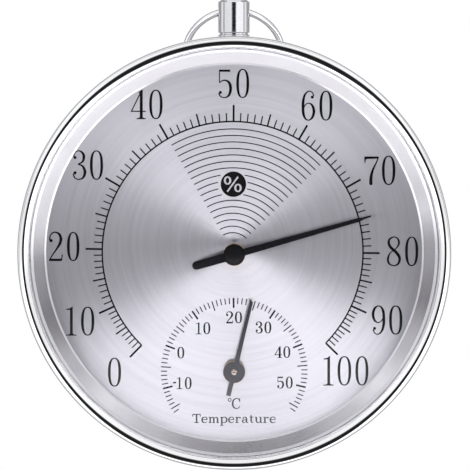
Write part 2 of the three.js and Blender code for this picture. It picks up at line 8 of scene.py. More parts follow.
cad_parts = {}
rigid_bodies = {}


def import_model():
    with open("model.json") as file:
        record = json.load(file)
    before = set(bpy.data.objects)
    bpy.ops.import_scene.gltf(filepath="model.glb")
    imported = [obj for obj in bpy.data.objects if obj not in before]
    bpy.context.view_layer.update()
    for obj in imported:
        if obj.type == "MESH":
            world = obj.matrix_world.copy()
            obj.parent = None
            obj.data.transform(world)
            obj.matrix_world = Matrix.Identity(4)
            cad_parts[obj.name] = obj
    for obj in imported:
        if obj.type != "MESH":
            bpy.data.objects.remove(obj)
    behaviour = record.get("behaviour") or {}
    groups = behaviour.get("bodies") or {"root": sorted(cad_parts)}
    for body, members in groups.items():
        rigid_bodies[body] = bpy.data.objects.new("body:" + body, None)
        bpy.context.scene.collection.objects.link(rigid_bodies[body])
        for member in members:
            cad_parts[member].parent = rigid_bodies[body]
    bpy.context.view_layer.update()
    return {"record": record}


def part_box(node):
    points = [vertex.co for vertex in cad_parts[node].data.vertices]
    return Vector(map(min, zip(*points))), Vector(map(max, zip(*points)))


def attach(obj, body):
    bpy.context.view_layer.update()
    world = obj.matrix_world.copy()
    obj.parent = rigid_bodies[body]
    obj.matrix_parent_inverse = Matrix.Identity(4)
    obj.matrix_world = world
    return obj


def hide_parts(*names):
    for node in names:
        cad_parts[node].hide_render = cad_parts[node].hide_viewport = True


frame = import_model()

# The outdoor wall thermometer, dressed for the studio. Metres, in the frame of the part: the
# dial faces -Y, the flat back lies at Y = 0, and +Z points up to the hanging knob.
# "Depth" is the distance from the back plane towards the viewer, so depth = -Y.


# Sizes of the photograph, in its own pixels
photo_size = 470
photo_middle = photo_size / 2
silhouette_pixel = (234.3, 253.2)
silhouette_radius_pixels = 217.2

# Where the camera stands, its sensor, and how near and far it sees
camera_distance = 2.5
camera_elevation = math.radians(1.6)
camera_azimuth = math.radians(0.35)
camera_sensor_millimetres = 36
camera_near = 0.05
camera_far = 50

# Bezel and case
bezel_low, bezel_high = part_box("front_bezel")
case_low, case_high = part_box("rear_case")
lens_low, lens_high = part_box("lens")
bezel_radius = bezel_high.x
bezel_wall = 0.0008
bead_radius = 0.002
bead_crest_inset = 0.0018
bead_crest_radius = bezel_radius - bead_crest_inset
bead_squareness_share = 0.88
crimp_width = 0.003
case_wall = 0.0008
case_lip_width = 0.0029
case_corner_radius = 0.004
case_front = -case_low.y
stack_radius = case_high.x
case_radius = stack_radius - case_lip_width
lens_back = -lens_high.y
lens_front = -lens_low.y
gasket_front = -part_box("lens_gasket")[0].y
gasket_showing_width = 0.00008
gasket_inner_radius = bezel_radius - 2 * bead_radius - gasket_showing_width
bead_depth = -bezel_low.y - bead_radius
crimp_front = case_front - case_wall
dial_back = -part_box("dial_plate")[1].y
dial_thickness = 0.0006
dial_front = dial_back + dial_thickness
reflector_foot_inset = 0.0076
reflector_foot_radius = stack_radius - reflector_foot_inset
reflector_shoulder_inset = 0.0038
reflector_shoulder_radius = stack_radius - reflector_shoulder_inset
reflector_wall = 0.0006
reflector_slope = math.tan(math.radians(38.5))
reflector_rim_width = 0.0009
reflector_rim_rise = 0.00055
reflector_lip_width = 0.00055
reflector_lip_height = 0.0003
vent_count = 8
vent_radius = 0.0015
vent_circle_radius = 0.022
slot_length = 0.008
slot_width = 0.003
slot_offset = 0.0114
edge_softening = 0.00008
brushing_centre_z = 0.003

# Movements
humidity_low, humidity_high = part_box("humidity_bush")
temperature_low, temperature_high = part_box("temperature_bush")
humidity_pivot_z = (humidity_low.z + humidity_high.z) / 2
temperature_pivot_z = (temperature_low.z + temperature_high.z) / 2
bush_flange_radius = humidity_high.x
bush_front = -humidity_low.y
bush_barrel_radius = 0.0024
bush_fit_gap = 0.00005
bush_rivet_radius = 0.0031
bush_rivet_thickness = 0.0005
hub_radius = 0.0033
hand_thickness = 0.0005
hand_bevel = 0.00007
arbor_radius = 0.00085
arbor_gap = 0.0001
arbor_centre_radius = 0.00027
arbor_centre_depth = 0.0003
humidity_rest_degrees = 74.3
temperature_rest_degrees = 13.9
humidity_hand_length = 0.0430
humidity_blade_root_width = 0.00204
humidity_blade_neck_width = 0.0012
humidity_point_length = 0.004
humidity_tail_length = 0.01325
humidity_tail_width = 0.0026
temperature_hand_length = 0.0222
temperature_blade_root_width = 0.00125
temperature_blade_tip_width = 0.0009
temperature_tail_length = 0.0074
temperature_tail_width = 0.0013
cap_height = 0.0009

# Hanger
hanger_depth = 0.006
knob_low, knob_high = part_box("hanger_knob")
knob_radius = knob_high.x
saddle_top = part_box("hanger_saddle")[1].z
saddle_case_gap = 0.0003
saddle_edge_softening = 0.00025
knob_height = 0.0103
knob_edge_radius = 0.0004
knob_shoulder_height = 0.0004
knob_shoulder_inset = 0.0004
knob_crown_inset = 0.00032
knob_groove_height = 0.0004
knob_groove_depth = 0.0005
stud_radius = 0.002
stud_gap = 0.0002
cross_hole_radius = 0.0018
cross_hole_z = 0.0733
ring_radius = 0.0149
ring_wire_radius = 0.00098

# The studio's brightness as the thermometer sees it. In front, at a slant and to the side it
# goes by the angle from straight up, and behind by the angle from straight ahead, in degrees.
studio_front_levels = [
    (0, 0.95), (25, 1.0), (45, 1.05), (60, 1.08), (75, 0.9),
    (90, 0.97), (100, 1.7), (115, 2.3), (180, 2.3),
]
studio_slant_levels = [
    (0, 0.08), (15, 0.15), (30, 0.7), (45, 1.3), (60, 0.55),
    (75, 0.03), (90, 0.3), (105, 1.2), (125, 1.4), (180, 1.7),
]
studio_side_levels = [
    (0, 1.1), (30, 0.9), (55, 0.45), (75, 0.6), (90, 0.95),
    (105, 0.6), (125, 0.4), (150, 0.9), (180, 1.1),
]
studio_back_levels = [(90, 1.1), (98, 1.1), (106, 0.4), (142, 0.4), (152, 1.0), (180, 1.0)]
studio_tilt_degrees = 3.6
studio_colour = (0.985, 0.985, 1.0, 1.0)

# The angles from straight ahead at which the slanting light starts and ends, and the angles
# from the plane of the dial over which the side light ends
slant_start_degrees = (70.5, 74.0)
slant_end_degrees = (80.0, 83.5)
side_end_degrees = (2.0, 5.0)

# The dark stretch round the camera. Its half width goes from one value to the other between
# two heights, and its ends fade away between two heights each, in degrees above the horizon.
dark_width_heights = (-49.0, 0.0)
dark_half_widths = (25.0, 11.0)
dark_low_heights = (-35.0, -66.0)
dark_high_heights = (4.0, 22.0)
dark_soft_width_share = 1.7
dark_level_share = 0.006

# Soft lamps low in front: place, width and height, and power of each
lamps = [
    ((0.010, -0.280, -0.190), (0.35, 0.14), 0.176),
    ((-0.122, -0.280, -0.176), (0.24, 0.13), 0.078),
    ((0.140, -0.280, -0.162), (0.24, 0.13), 0.078),
]
lamp_aim = (0, 0, -0.042)
lamp_spread = math.radians(60)
lamp_skips = ["spun_case", "bezel", "glass", "sloping_ring", "knob", "collar", "wire_ring", "floor"]

# The floor lies low and a little back, where the sloping ring doesn't mirror it
floor_radius = 0.5
floor_place = (0, 0.22, -1.5)

# Grain of the materials: its cells for each metre, or across and along the lathe's lines, the
# depth of its relief, the noise levels it goes between, and how far the gloss spreads with it
grain_limits = (0.3, 0.7)
mirror_cloud_cells = 60.0
mirror_speck_cells = 4000.0
mirror_speck_limits = (0.35, 0.75)
mirror_relief = 0.0000004
knob_cells = (9000.0, 1.5)
knob_speck_cells = 2600.0
knob_relief = 0.000003
dial_fine_cells = (5200.0, 1.6)
dial_broad_cells = (900.0, 0.7)
dial_relief = 0.000001
reflector_cells = (3000.0, 2.0)
reflector_relief = 0.00000005
pan_cells = (1800.0, 1.2)
metal_cells = 2200.0
metal_relief = 0.000004
metal_gloss_spread = 0.07
paint_cells = 3500.0
paint_relief = 0.000002
paint_gloss_spread = 0.06
paint_mirror_level = 0.06
rubber_relief = 0.00001
ink_relief = 0.000001
nearest_lathe_radius = 0.0001

# A whitish veil painted on the glass, a painted reflection of bright light below, from where it starts to
# where it is thickest, and how the glass mirrors
painted_veil_heights = (-0.017, -0.058)
painted_veil_share = 0.067
painted_veil_patch_cells = 90.0
painted_veil_patch_limits = (0.2, 0.8)
painted_veil_patch_shares = (0.9, 1.1)
mirror_straight_share = 0.02
mirror_slant_share = 0.9
mirror_slant_power = 6.5

# How finely round shapes are divided
case_sides = 360
turned_sides = 96
hole_sides = 64
shaft_sides = 48
wire_sides = 48
bead_steps = 40
corner_steps = 12
dome_steps = 16
edge_steps = 8
hub_steps = 40
loop_steps = 40
ring_steps = 240
slot_end_steps = 24
small_ring_steps = 32
arc_step_degrees = 2

# Edges are drawn sharp from these angles on
sharp_degrees = 30
reflector_sharp_degrees = 10

# The print stands this far above the dial, each layer a little above the last
print_height = 0.00002
print_layer = 0.000001

# Print on the dial, in the pixels of the photograph
humidity_centre_pixel = (232.65, 251.9)
humidity_arc_pixels = 130.4
humidity_line_pixels = 1.55
humidity_decade_degrees = [-135.7, -114.7, -88.8, -59.8, -29.8, 0.4, 30.5, 60.5, 90.5, 114.5, 134.4]
ticks_per_decade = 10
minor_tick_pixels = (8.6, 1.25)
five_tick_pixels = (12.3, 1.6)
ten_tick_pixels = (16.7, 2.0)
fan_line_count = 17
fan_first_pixels = 19.25
fan_pitch_pixels = 6.482
fan_line_pixels = 1.05
fan_start_degrees = -29.8
fan_end_degrees = 45.4
percent_pixel = (233.4, 184.2)
percent_radius_pixels = 12.75
percent_clear_pixels = 15.0
percent_loop_pixels = [(227.55, 180.5), (238.0, 187.95)]
percent_loop_size_pixels = (2.7, 3.5)
percent_stroke_pixels = (1.25, 1.95)
percent_slash_pixels = [(227.3, 191.7), (238.0, 176.8)]
percent_slash_width_pixels = 1.5
temperature_centre_pixel = (234.2, 371.2)
temperature_radius_pixels = 73.4
temperature_lowest = -16
temperature_highest = 56
temperature_at_top = 20.15
degrees_per_celsius = 3.44
small_tick_pixels = (6.2, 1.05)
small_five_pixels = (10.0, 1.15)
small_ten_pixels = (10.0, 1.8)

# Boxes of the digits: top and bottom of a number, then each digit's left and right
humidity_number_pixels = [
    (68.8, 98.1, ("5", 217.8, 232.3), ("0", 236.2, 249.2)),
    (89.6, 119.2, ("4", 130.7, 145.7), ("0", 149.2, 162.6)),
    (150.3, 179.9, ("3", 72.5, 86.5), ("0", 89.9, 103.1)),
    (231.8, 261.2, ("2", 48.8, 62.5), ("0", 67.0, 79.4)),
    (306.6, 335.7, ("1", 65.9, 76.4), ("0", 81.0, 94.3)),
    (357.6, 386.7, ("0", 107.9, 121.1)),
    (90.7, 120.7, ("6", 301.5, 315.5), ("0", 319.4, 332.4)),
    (155.6, 185.1, ("7", 364.3, 378.9), ("0", 381.9, 395.4)),
    (236.5, 266.2, ("8", 386.7, 401.4), ("0", 405.1, 418.3)),
    (305.4, 334.7, ("9", 371.4, 385.3), ("0", 389.1, 402.4)),
    (356.1, 385.6, ("1", 323.4, 333.6), ("0", 337.5, 351.2), ("0", 355.4, 368.4)),
]
humidity_stem_pixels = 2.8
temperature_number_pixels = [
    (311.6, 323.2, ("2", 226.1, 233.0), ("0", 234.9, 242.0)),
    (322.3, 334.2, ("1", 195.7, 201.5), ("0", 203.3, 210.3)),
    (346.9, 358.4, ("0", 177.3, 184.3)),
    (377.1, 389.0, ("1", 176.6, 182.3), ("0", 184.8, 191.6)),
    (321.6, 333.3, ("3", 255.6, 262.6), ("0", 264.4, 271.3)),
    (346.3, 357.8, ("4", 274.5, 281.9), ("0", 283.3, 290.3)),
    (376.6, 388.4, ("5", 277.1, 283.9), ("0", 285.8, 292.7)),
    (381.9, 383.3, ("-", 173.0, 176.3)),
]
celsius_letter_pixels = [(398.2, 408.9, ("C", 231.8, 240.3))]
temperature_stem_pixels = 1.85
degree_ring_pixel = (229.7, 399.9)
degree_ring_pixels = 1.5
degree_ring_line_pixels = 0.8

# The word under the temperature scale: each letter with its width
word_left_pixel = 192.3
word_baseline_pixel = 422.9
word_gap_pixels = 0.65
word_x_height_pixels = 6.1
word_cap_height_pixels = 9.0
word_tall_height_pixels = 8.2
word_descent_pixels = 2.7
word_stem_pixels = 1.6
word_letter_pixels = [
    ("T", 8.5), ("e", 6.2), ("m", 11.0), ("p", 7.6), ("e", 6.2), ("r", 6.0),
    ("a", 6.8), ("t", 4.8), ("u", 7.8), ("r", 6.0), ("e", 6.2),
]

# Strokes of each sign, in hundredths of its box from the lower left corner. The third number
# of a point is the stroke's width in hundredths of the stem. A flat stroke has its start, end,
# height and width, and an upright one its place, start, end and width.
sign_hundredth_shares = {
    "1": [
        ("shape", [(38.5, 0), (65.5, 0), (65.5, 100), (57, 100), (41, 95),
                   (2, 91.5), (2, 88.5), (38.5, 88.5)]),
        ("flat", (0, 100, 1.8, 38)),
        ("shape", [(20, 3), (84, 3), (65.5, 7.5), (38.5, 7.5)]),
    ],
    "2": [
        ("ball", (17, 70, 115)),
        ("curve", [(7, 71.5, 55), (10, 86, 45), (27, 96, 45), (50, 98.5, 50),
                   (78, 91, 85), (88, 75, 105), (80, 59, 95), (55, 40, 60), (25, 20, 45), (7, 5, 40)]),
        ("flat", (2, 94, 4.5, 85)),
        ("line", [(93, 3, 42), (98.5, 23, 38)]),
    ],
    "3": [
        ("ball", (18, 75.5, 110)),
        ("curve", [(8, 78, 50), (16, 91, 42), (44, 98.5, 42), (72, 91, 80),
                   (81, 77, 100), (71, 61, 70), (38, 53, 36)]),
        ("curve", [(38, 53, 36), (72, 46.5, 70), (89, 27, 105), (76, 8, 75),
                   (46, 1.8, 42), (16, 7, 45), (6, 21, 55)]),
        ("ball", (18, 24, 115)),
    ],
    "4": [
        ("upright", (70.5, 2, 95, 105)),
        ("shape", [(50, 90), (60, 88), (80.5, 93), (80.5, 100), (74, 100)]),
        ("line", [(73, 97, 42), (5, 27, 42)]),
        ("flat", (0, 100, 26.7, 42)),
        ("flat", (39, 100, 1.8, 38)),
        ("shape", [(48, 3), (92, 3), (80, 7), (60.5, 7)]),
    ],
    "5": [
        ("flat", (8, 86, 93.5, 80)),
        ("upright", (11.5, 96, 53, 38)),
        ("curve", [(12, 52, 38), (30, 59, 45), (54, 60.5, 55), (79, 52, 90),
                   (88.5, 32, 105), (77, 10, 80), (48, 1.8, 42), (18, 6, 45), (7, 18, 50)]),
        ("ball", (18, 19.5, 110)),
    ],
    "6": [
        ("ball", (77, 78.5, 110)),
        ("curve", [(87.5, 82, 45), (77, 94, 40), (53, 98.5, 42), (26, 88, 70),
                   (13, 68, 95), (10.5, 46, 100), (14, 22, 95), (28, 7, 65),
                   (50, 1.8, 42), (76, 10, 80), (88.5, 30, 100), (78, 50, 80),
                   (54, 58.5, 42), (30, 54, 38), (14, 40, 38)]),
    ],
    "7": [
        ("shape", [(0, 97), (98, 97), (98, 90), (12, 88), (5, 74), (1, 74)]),
        ("curve", [(96.5, 94, 40), (80, 74, 50), (61, 54, 75), (49, 35, 100),
                   (45, 18, 115), (45, 5, 120)]),
        ("ball", (45, 5, 120)),
    ],
    "8": [
        ("loop", [(50, 98.5, 42), (20, 91, 70), (14, 77, 90), (30, 62, 100),
                  (66, 46, 105), (88, 27, 95), (78, 8, 70), (48, 1.8, 42),
                  (16, 9, 65), (8.5, 26, 75), (25, 45, 42), (62, 59, 42), (83, 76, 70), (76, 92, 60)]),
    ],
    "-": [("flat", (0, 100, 50, 80))],
    "C": [
        ("curve", [(95, 68, 50), (80, 92, 50), (54, 96.5, 50), (22, 83, 80),
                   (10, 50, 100), (22, 16, 80), (55, 3.5, 50), (80, 9, 45), (95, 27, 40)]),
        ("upright", (93, 64, 98, 45)),
    ],
    "T": [
        ("upright", (50, 2, 98, 100)),
        ("flat", (2, 98, 95.5, 60)),
        ("upright", (6, 98, 70, 50)),
        ("upright", (94, 98, 70, 50)),
        ("flat", (24, 76, 4, 55)),
    ],
    "e": [
        ("flat", (12, 93, 53, 50)),
        ("curve", [(90, 53, 70), (80, 87, 65), (52, 96, 50), (20, 80, 85),
                   (10, 48, 100), (22, 15, 85), (56, 4, 55), (95, 20, 40)]),
    ],
    "m": [
        ("upright", (17, 2, 98, 100)),
        ("flat", (3, 17, 94, 50)),
        ("curve", [(19, 68, 45), (30, 90, 50), (42, 92, 70), (50, 70, 100),
                   (50, 40, 100), (50, 2, 100)]),
        ("curve", [(52, 68, 45), (63, 90, 50), (75, 92, 70), (84, 70, 100),
                   (84, 40, 100), (84, 2, 100)]),
        ("flat", (3, 31, 5, 50)),
        ("flat", (38, 62, 5, 50)),
        ("flat", (72, 98, 5, 50)),
    ],
    "p": [
        ("upright", (24, 3, 98, 100)),
        ("flat", (3, 24, 96, 50)),
        ("flat", (3, 46, 3, 50)),
        ("curve", [(26, 82, 40), (55, 96.5, 55), (83, 86, 85), (90, 65, 100),
                   (80, 42, 85), (55, 34, 55), (26, 46, 40)]),
    ],
    "r": [
        ("upright", (30, 2, 98, 100)),
        ("flat", (4, 30, 94, 50)),
        ("flat", (4, 60, 5, 50)),
        ("curve", [(33, 60, 40), (52, 88, 50), (80, 93, 60)]),
        ("ball", (84, 84, 100)),
    ],
    "a": [
        ("ball", (20, 74, 95)),
        ("curve", [(16, 82, 45), (42, 96, 50), (66, 85, 85), (70, 60, 100),
                   (70, 25, 100), (78, 6, 60), (98, 10, 40)]),
        ("curve", [(70, 57, 40), (40, 52, 50), (15, 36, 85), (16, 14, 80), (36, 4, 50), (68, 24, 40)]),
    ],
    "t": [
        ("curve", [(40, 97, 60), (42, 60, 100), (42, 25, 100), (56, 4, 60), (95, 12, 40)]),
        ("flat", (3, 90, 71, 50)),
    ],
    "u": [
        ("flat", (2, 22, 95, 50)),
        ("flat", (58, 80, 95, 50)),
        ("upright", (78, 98, 2, 100)),
        ("flat", (78, 98, 5, 50)),
        ("curve", [(22, 98, 100), (22, 55, 100), (25, 20, 90), (45, 5, 60), (75, 26, 40)]),
    ],
}
zero_thin_share = 0.42
zero_squareness_share = 0.82
zero_width_power = 1.6
curve_steps = 6
zero_steps = 56
ball_steps = 20


# The camera, and the way from a pixel of the photograph to a place at some depth
pixel = bezel_radius / silhouette_radius_pixels
to_camera = Vector((
    -math.sin(camera_azimuth) * math.cos(camera_elevation),
    -math.cos(camera_azimuth) * math.cos(camera_elevation),
    math.sin(camera_elevation),
))
camera_right = Vector((0, 0, 1)).cross(to_camera).normalized()
camera_up = to_camera.cross(camera_right)
aim = (
    Vector((0, -bead_depth, 0))
    + camera_right * (photo_middle - silhouette_pixel[0]) * pixel
    + camera_up * (silhouette_pixel[1] - photo_middle) * pixel
)
camera_place = aim + to_camera * camera_distance
dial_pixel = pixel * (camera_distance + bead_depth - dial_front) / camera_distance


def photo_place(x, y, depth=dial_front):
    """The place (x, z) at a depth that the photograph shows at a pixel."""
    ray = (
        -to_camera * camera_distance
        + camera_right * (x - photo_middle) * pixel
        + camera_up * (photo_middle - y) * pixel
    )
    reach = (-depth - camera_place.y) / ray.y
    place = camera_place + ray * reach
    return place.x, place.z


def make_camera():
    data = bpy.data.cameras.new("photo_camera")
    data.sensor_width = camera_sensor_millimetres
    data.lens = data.sensor_width * camera_distance / (photo_size * pixel)
    data.clip_start = camera_near
    data.clip_end = camera_far
    camera = bpy.data.objects.new("photo_camera", data)
    bpy.context.scene.collection.objects.link(camera)
    axes = Matrix((camera_right, camera_up, to_camera)).transposed()
    camera.matrix_world = Matrix.Translation(camera_place) @ axes.to_4x4()
    bpy.context.scene.camera = camera


# Meshes
def add_piece(name, mesh, material, body):
    piece = bpy.data.objects.new(name, mesh)
    bpy.context.scene.collection.objects.link(piece)
    mesh.materials.clear()
    mesh.materials.append(material)
    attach(piece, body)
    return piece


def finish_mesh(name, bm, sharp_angle=sharp_degrees):
    """Turns a bmesh into a mesh with outward faces, smooth but for its sharp edges."""
    bmesh.ops.recalc_face_normals(bm, faces=bm.faces)
    for face in bm.faces:
        face.smooth = True
    for edge in bm.edges:
        edge.smooth = not edge.is_manifold or edge.calc_face_angle() < math.radians(sharp_angle)
    mesh = bpy.data.meshes.new(name)
    bm.to_mesh(mesh)
    bm.free()
    return mesh


def arc(x, y, radius, start, end, steps):
    """Points of an arc in a profile, from one angle to another in degrees."""
    angles = [math.radians(start + (end - start) * i / steps) for i in range(steps + 1)]
    return [(x + radius * math.cos(angle), y + radius * math.sin(angle)) for angle in angles]


def turned(name, profile, sides=turned_sides, place=Matrix.Identity(4), sharp_angle=sharp_degrees):
    """Turns a profile of (radius, depth) points round the dial's axis."""
    bm = bmesh.new()
    angles = [2 * math.pi * i / sides for i in range(sides)]
    rings = []
    for radius, depth in profile:
        if radius == 0:
            rings.append([bm.verts.new((0, -depth, 0))] * sides)
        else:
            rings.append([
                bm.verts.new((radius * math.sin(angle), -depth, radius * math.cos(angle)))
                for angle in angles
            ])
    for near, far in zip(rings, rings[1:] + rings[:1]):
        for i in range(sides):
            j = (i + 1) % sides
            corners = list(dict.fromkeys([near[i], near[j], far[j], far[i]]))
            if len(corners) > 2:
                bm.faces.new(corners)
    bm.transform(place)
    return finish_mesh(name, bm, sharp_angle)


def add_turned(name, profile, material, slot, sides=case_sides, place=Matrix.Identity(4), body="case"):
    return add_piece(name, turned(name, profile, sides, place), material, body)


def dome(radius, base, height):
    """Points of a dome's profile, from its edge up, without its top."""
    angles = [math.radians(90 * i / dome_steps) for i in range(dome_steps)]
    return [(radius * math.cos(angle), base + height * math.sin(angle)) for angle in angles]


def at_pivot(z):
    return Matrix.Translation((0, 0, z))


def upright(base_z):
    """Stands a turned shape up, so that its depth becomes the height above a base."""
    return Matrix.Translation((0, -hanger_depth, base_z)) @ Matrix.Rotation(-math.pi / 2, 4, "X")


def prism(bm, outline, back, front):
    """A closed plate with a drawn (x, z) outline."""
    faces = []
    for depth in (back, front):
        faces.append([bm.verts.new((x, -depth, z)) for x, z in outline])
    bm.faces.new(faces[0])
    bm.faces.new(faces[1][::-1])
    count = len(outline)
    for i in range(count):
        j = (i + 1) % count
        bm.faces.new([faces[0][i], faces[1][i], faces[1][j], faces[0][j]])


def ribbon(bm, left, right, back, front, closed):
    """A closed band between two lines of (x, z) points."""
    rows = [
        [bm.verts.new((x, -depth, z)) for depth, (x, z) in zip(
            (back, front, front, back), (a, a, b, b))]
        for a, b in zip(left, right)
    ]
    spans = zip(rows, rows[1:] + rows[:1]) if closed else zip(rows, rows[1:])
    for row, following in spans:
        for i in range(4):
            j = (i + 1) % 4
            bm.faces.new([row[i], row[j], following[j], following[i]])
    if not closed:
        bm.faces.new(rows[0])
        bm.faces.new(rows[-1][::-1])


def stroke(bm, points, back, front, closed=False):
    """A band of changing width along (x, z, width) points."""
    count = len(points)
    left, right = [], []
    for i, (x, z, width) in enumerate(points):
        before = points[i - 1] if closed or i > 0 else points[i]
        after = points[(i + 1) % count] if closed or i < count - 1 else points[i]
        along = Vector((after[0] - before[0], after[1] - before[1])).normalized()
        left.append((x - along.y * width / 2, z + along.x * width / 2))
        right.append((x + along.y * width / 2, z - along.x * width / 2))
    ribbon(bm, left, right, back, front, closed)


def smoothed(points, closed=False):
    """A smooth line through points of any number of coordinates."""
    count = len(points)
    spans = count if closed else count - 1
    line = []
    for i in range(spans):
        around = []
        for k in (i - 1, i, i + 1, i + 2):
            around.append(points[k % count] if closed else points[min(max(k, 0), count - 1)])
        for step in range(curve_steps):
            t = step / curve_steps
            line.append(tuple(
                0.5 * (2 * b + (c - a) * t + (2 * a - 5 * b + 4 * c - d) * t * t
                       + (3 * b - a - 3 * c + d) * t ** 3)
                for a, b, c, d in zip(*around)
            ))
    return line if closed else line + [tuple(points[-1])]


def zero_line(width_share):
    """The narrow oval of a nought, thick at its sides."""
    half_width = 0.5 - width_share / 2
    half_height = 0.5 - zero_thin_share * width_share / 4
    line = []
    for i in range(zero_steps):
        angle = 2 * math.pi * i / zero_steps
        c, s = math.cos(angle), math.sin(angle)
        line.append((
            0.5 + half_width * math.copysign(abs(c) ** zero_squareness_share, c),
            0.5 + half_height * math.copysign(abs(s) ** zero_squareness_share, s),
            zero_thin_share + (1 - zero_thin_share) * abs(c) ** zero_width_power,
        ))
    return line


def stroke_points(kind, numbers):
    """The points of one stroke of a sign, as shares of its box and its stem."""
    points = [numbers] if kind == "ball" else numbers
    if kind == "flat":
        start, end, height, width = numbers
        points = (start, height, width), (end, height, width)
    elif kind == "upright":
        place, start, end, width = numbers
        points = (place, start, width), (place, end, width)
    return [tuple(number / 100 for number in point) for point in points]


def sign(bm, character, left, top, right, bottom, stem_pixels):
    """Draws one sign in its box of the photograph, as thin print on the dial."""
    x0, z0 = photo_place(left, bottom)
    x1, z1 = photo_place(right, top)
    stem = stem_pixels * dial_pixel

    def placed(points):
        return [
            (x0 + p[0] * (x1 - x0), z0 + p[1] * (z1 - z0), *[width * stem for width in p[2:]])
            for p in points
        ]

    if character == "0":
        line = placed(zero_line(stem / (x1 - x0)))
        stroke(bm, line, dial_front, dial_front + print_height, closed=True)
        return
    turned_over = character == "9"
    strokes = sign_hundredth_shares["6" if turned_over else character]
    for layer, (kind, numbers) in enumerate(strokes):
        front = dial_front + print_height + layer * print_layer
        points = stroke_points(kind, numbers)
        if turned_over:
            points = [(1 - p[0], 1 - p[1], *p[2:]) for p in points]
        points = placed(points)
        if kind == "ball":
            x, z, size = points[0]
            prism(bm, arc(x, z, size / 2, 0, 360, ball_steps)[:-1], dial_front, front)
        elif kind == "shape":
            prism(bm, points, dial_front, front)
        else:
            closed = kind == "loop"
            line = smoothed(points, closed) if kind in ("curve", "loop") else points
            stroke(bm, line, dial_front, front, closed)


def ray_mark(bm, centre, start, end, width, degrees):
    """A straight mark on the dial, pointing away from a centre."""
    angle = math.radians(degrees)
    way = Vector((math.sin(angle), math.cos(angle)))
    points = [(centre[0] + way.x * r, centre[1] + way.y * r, width) for r in (start, end)]
    stroke(bm, points, dial_front, dial_front + print_height)


def arc_mark(bm, centre, radius, width, start, end):
    steps = max(2, math.ceil(abs(end - start) / arc_step_degrees))
    points = [(x, z, width) for x, z in arc(*centre, radius, 90 - start, 90 - end, steps)]
    stroke(bm, points, dial_front, dial_front + print_height + print_layer)


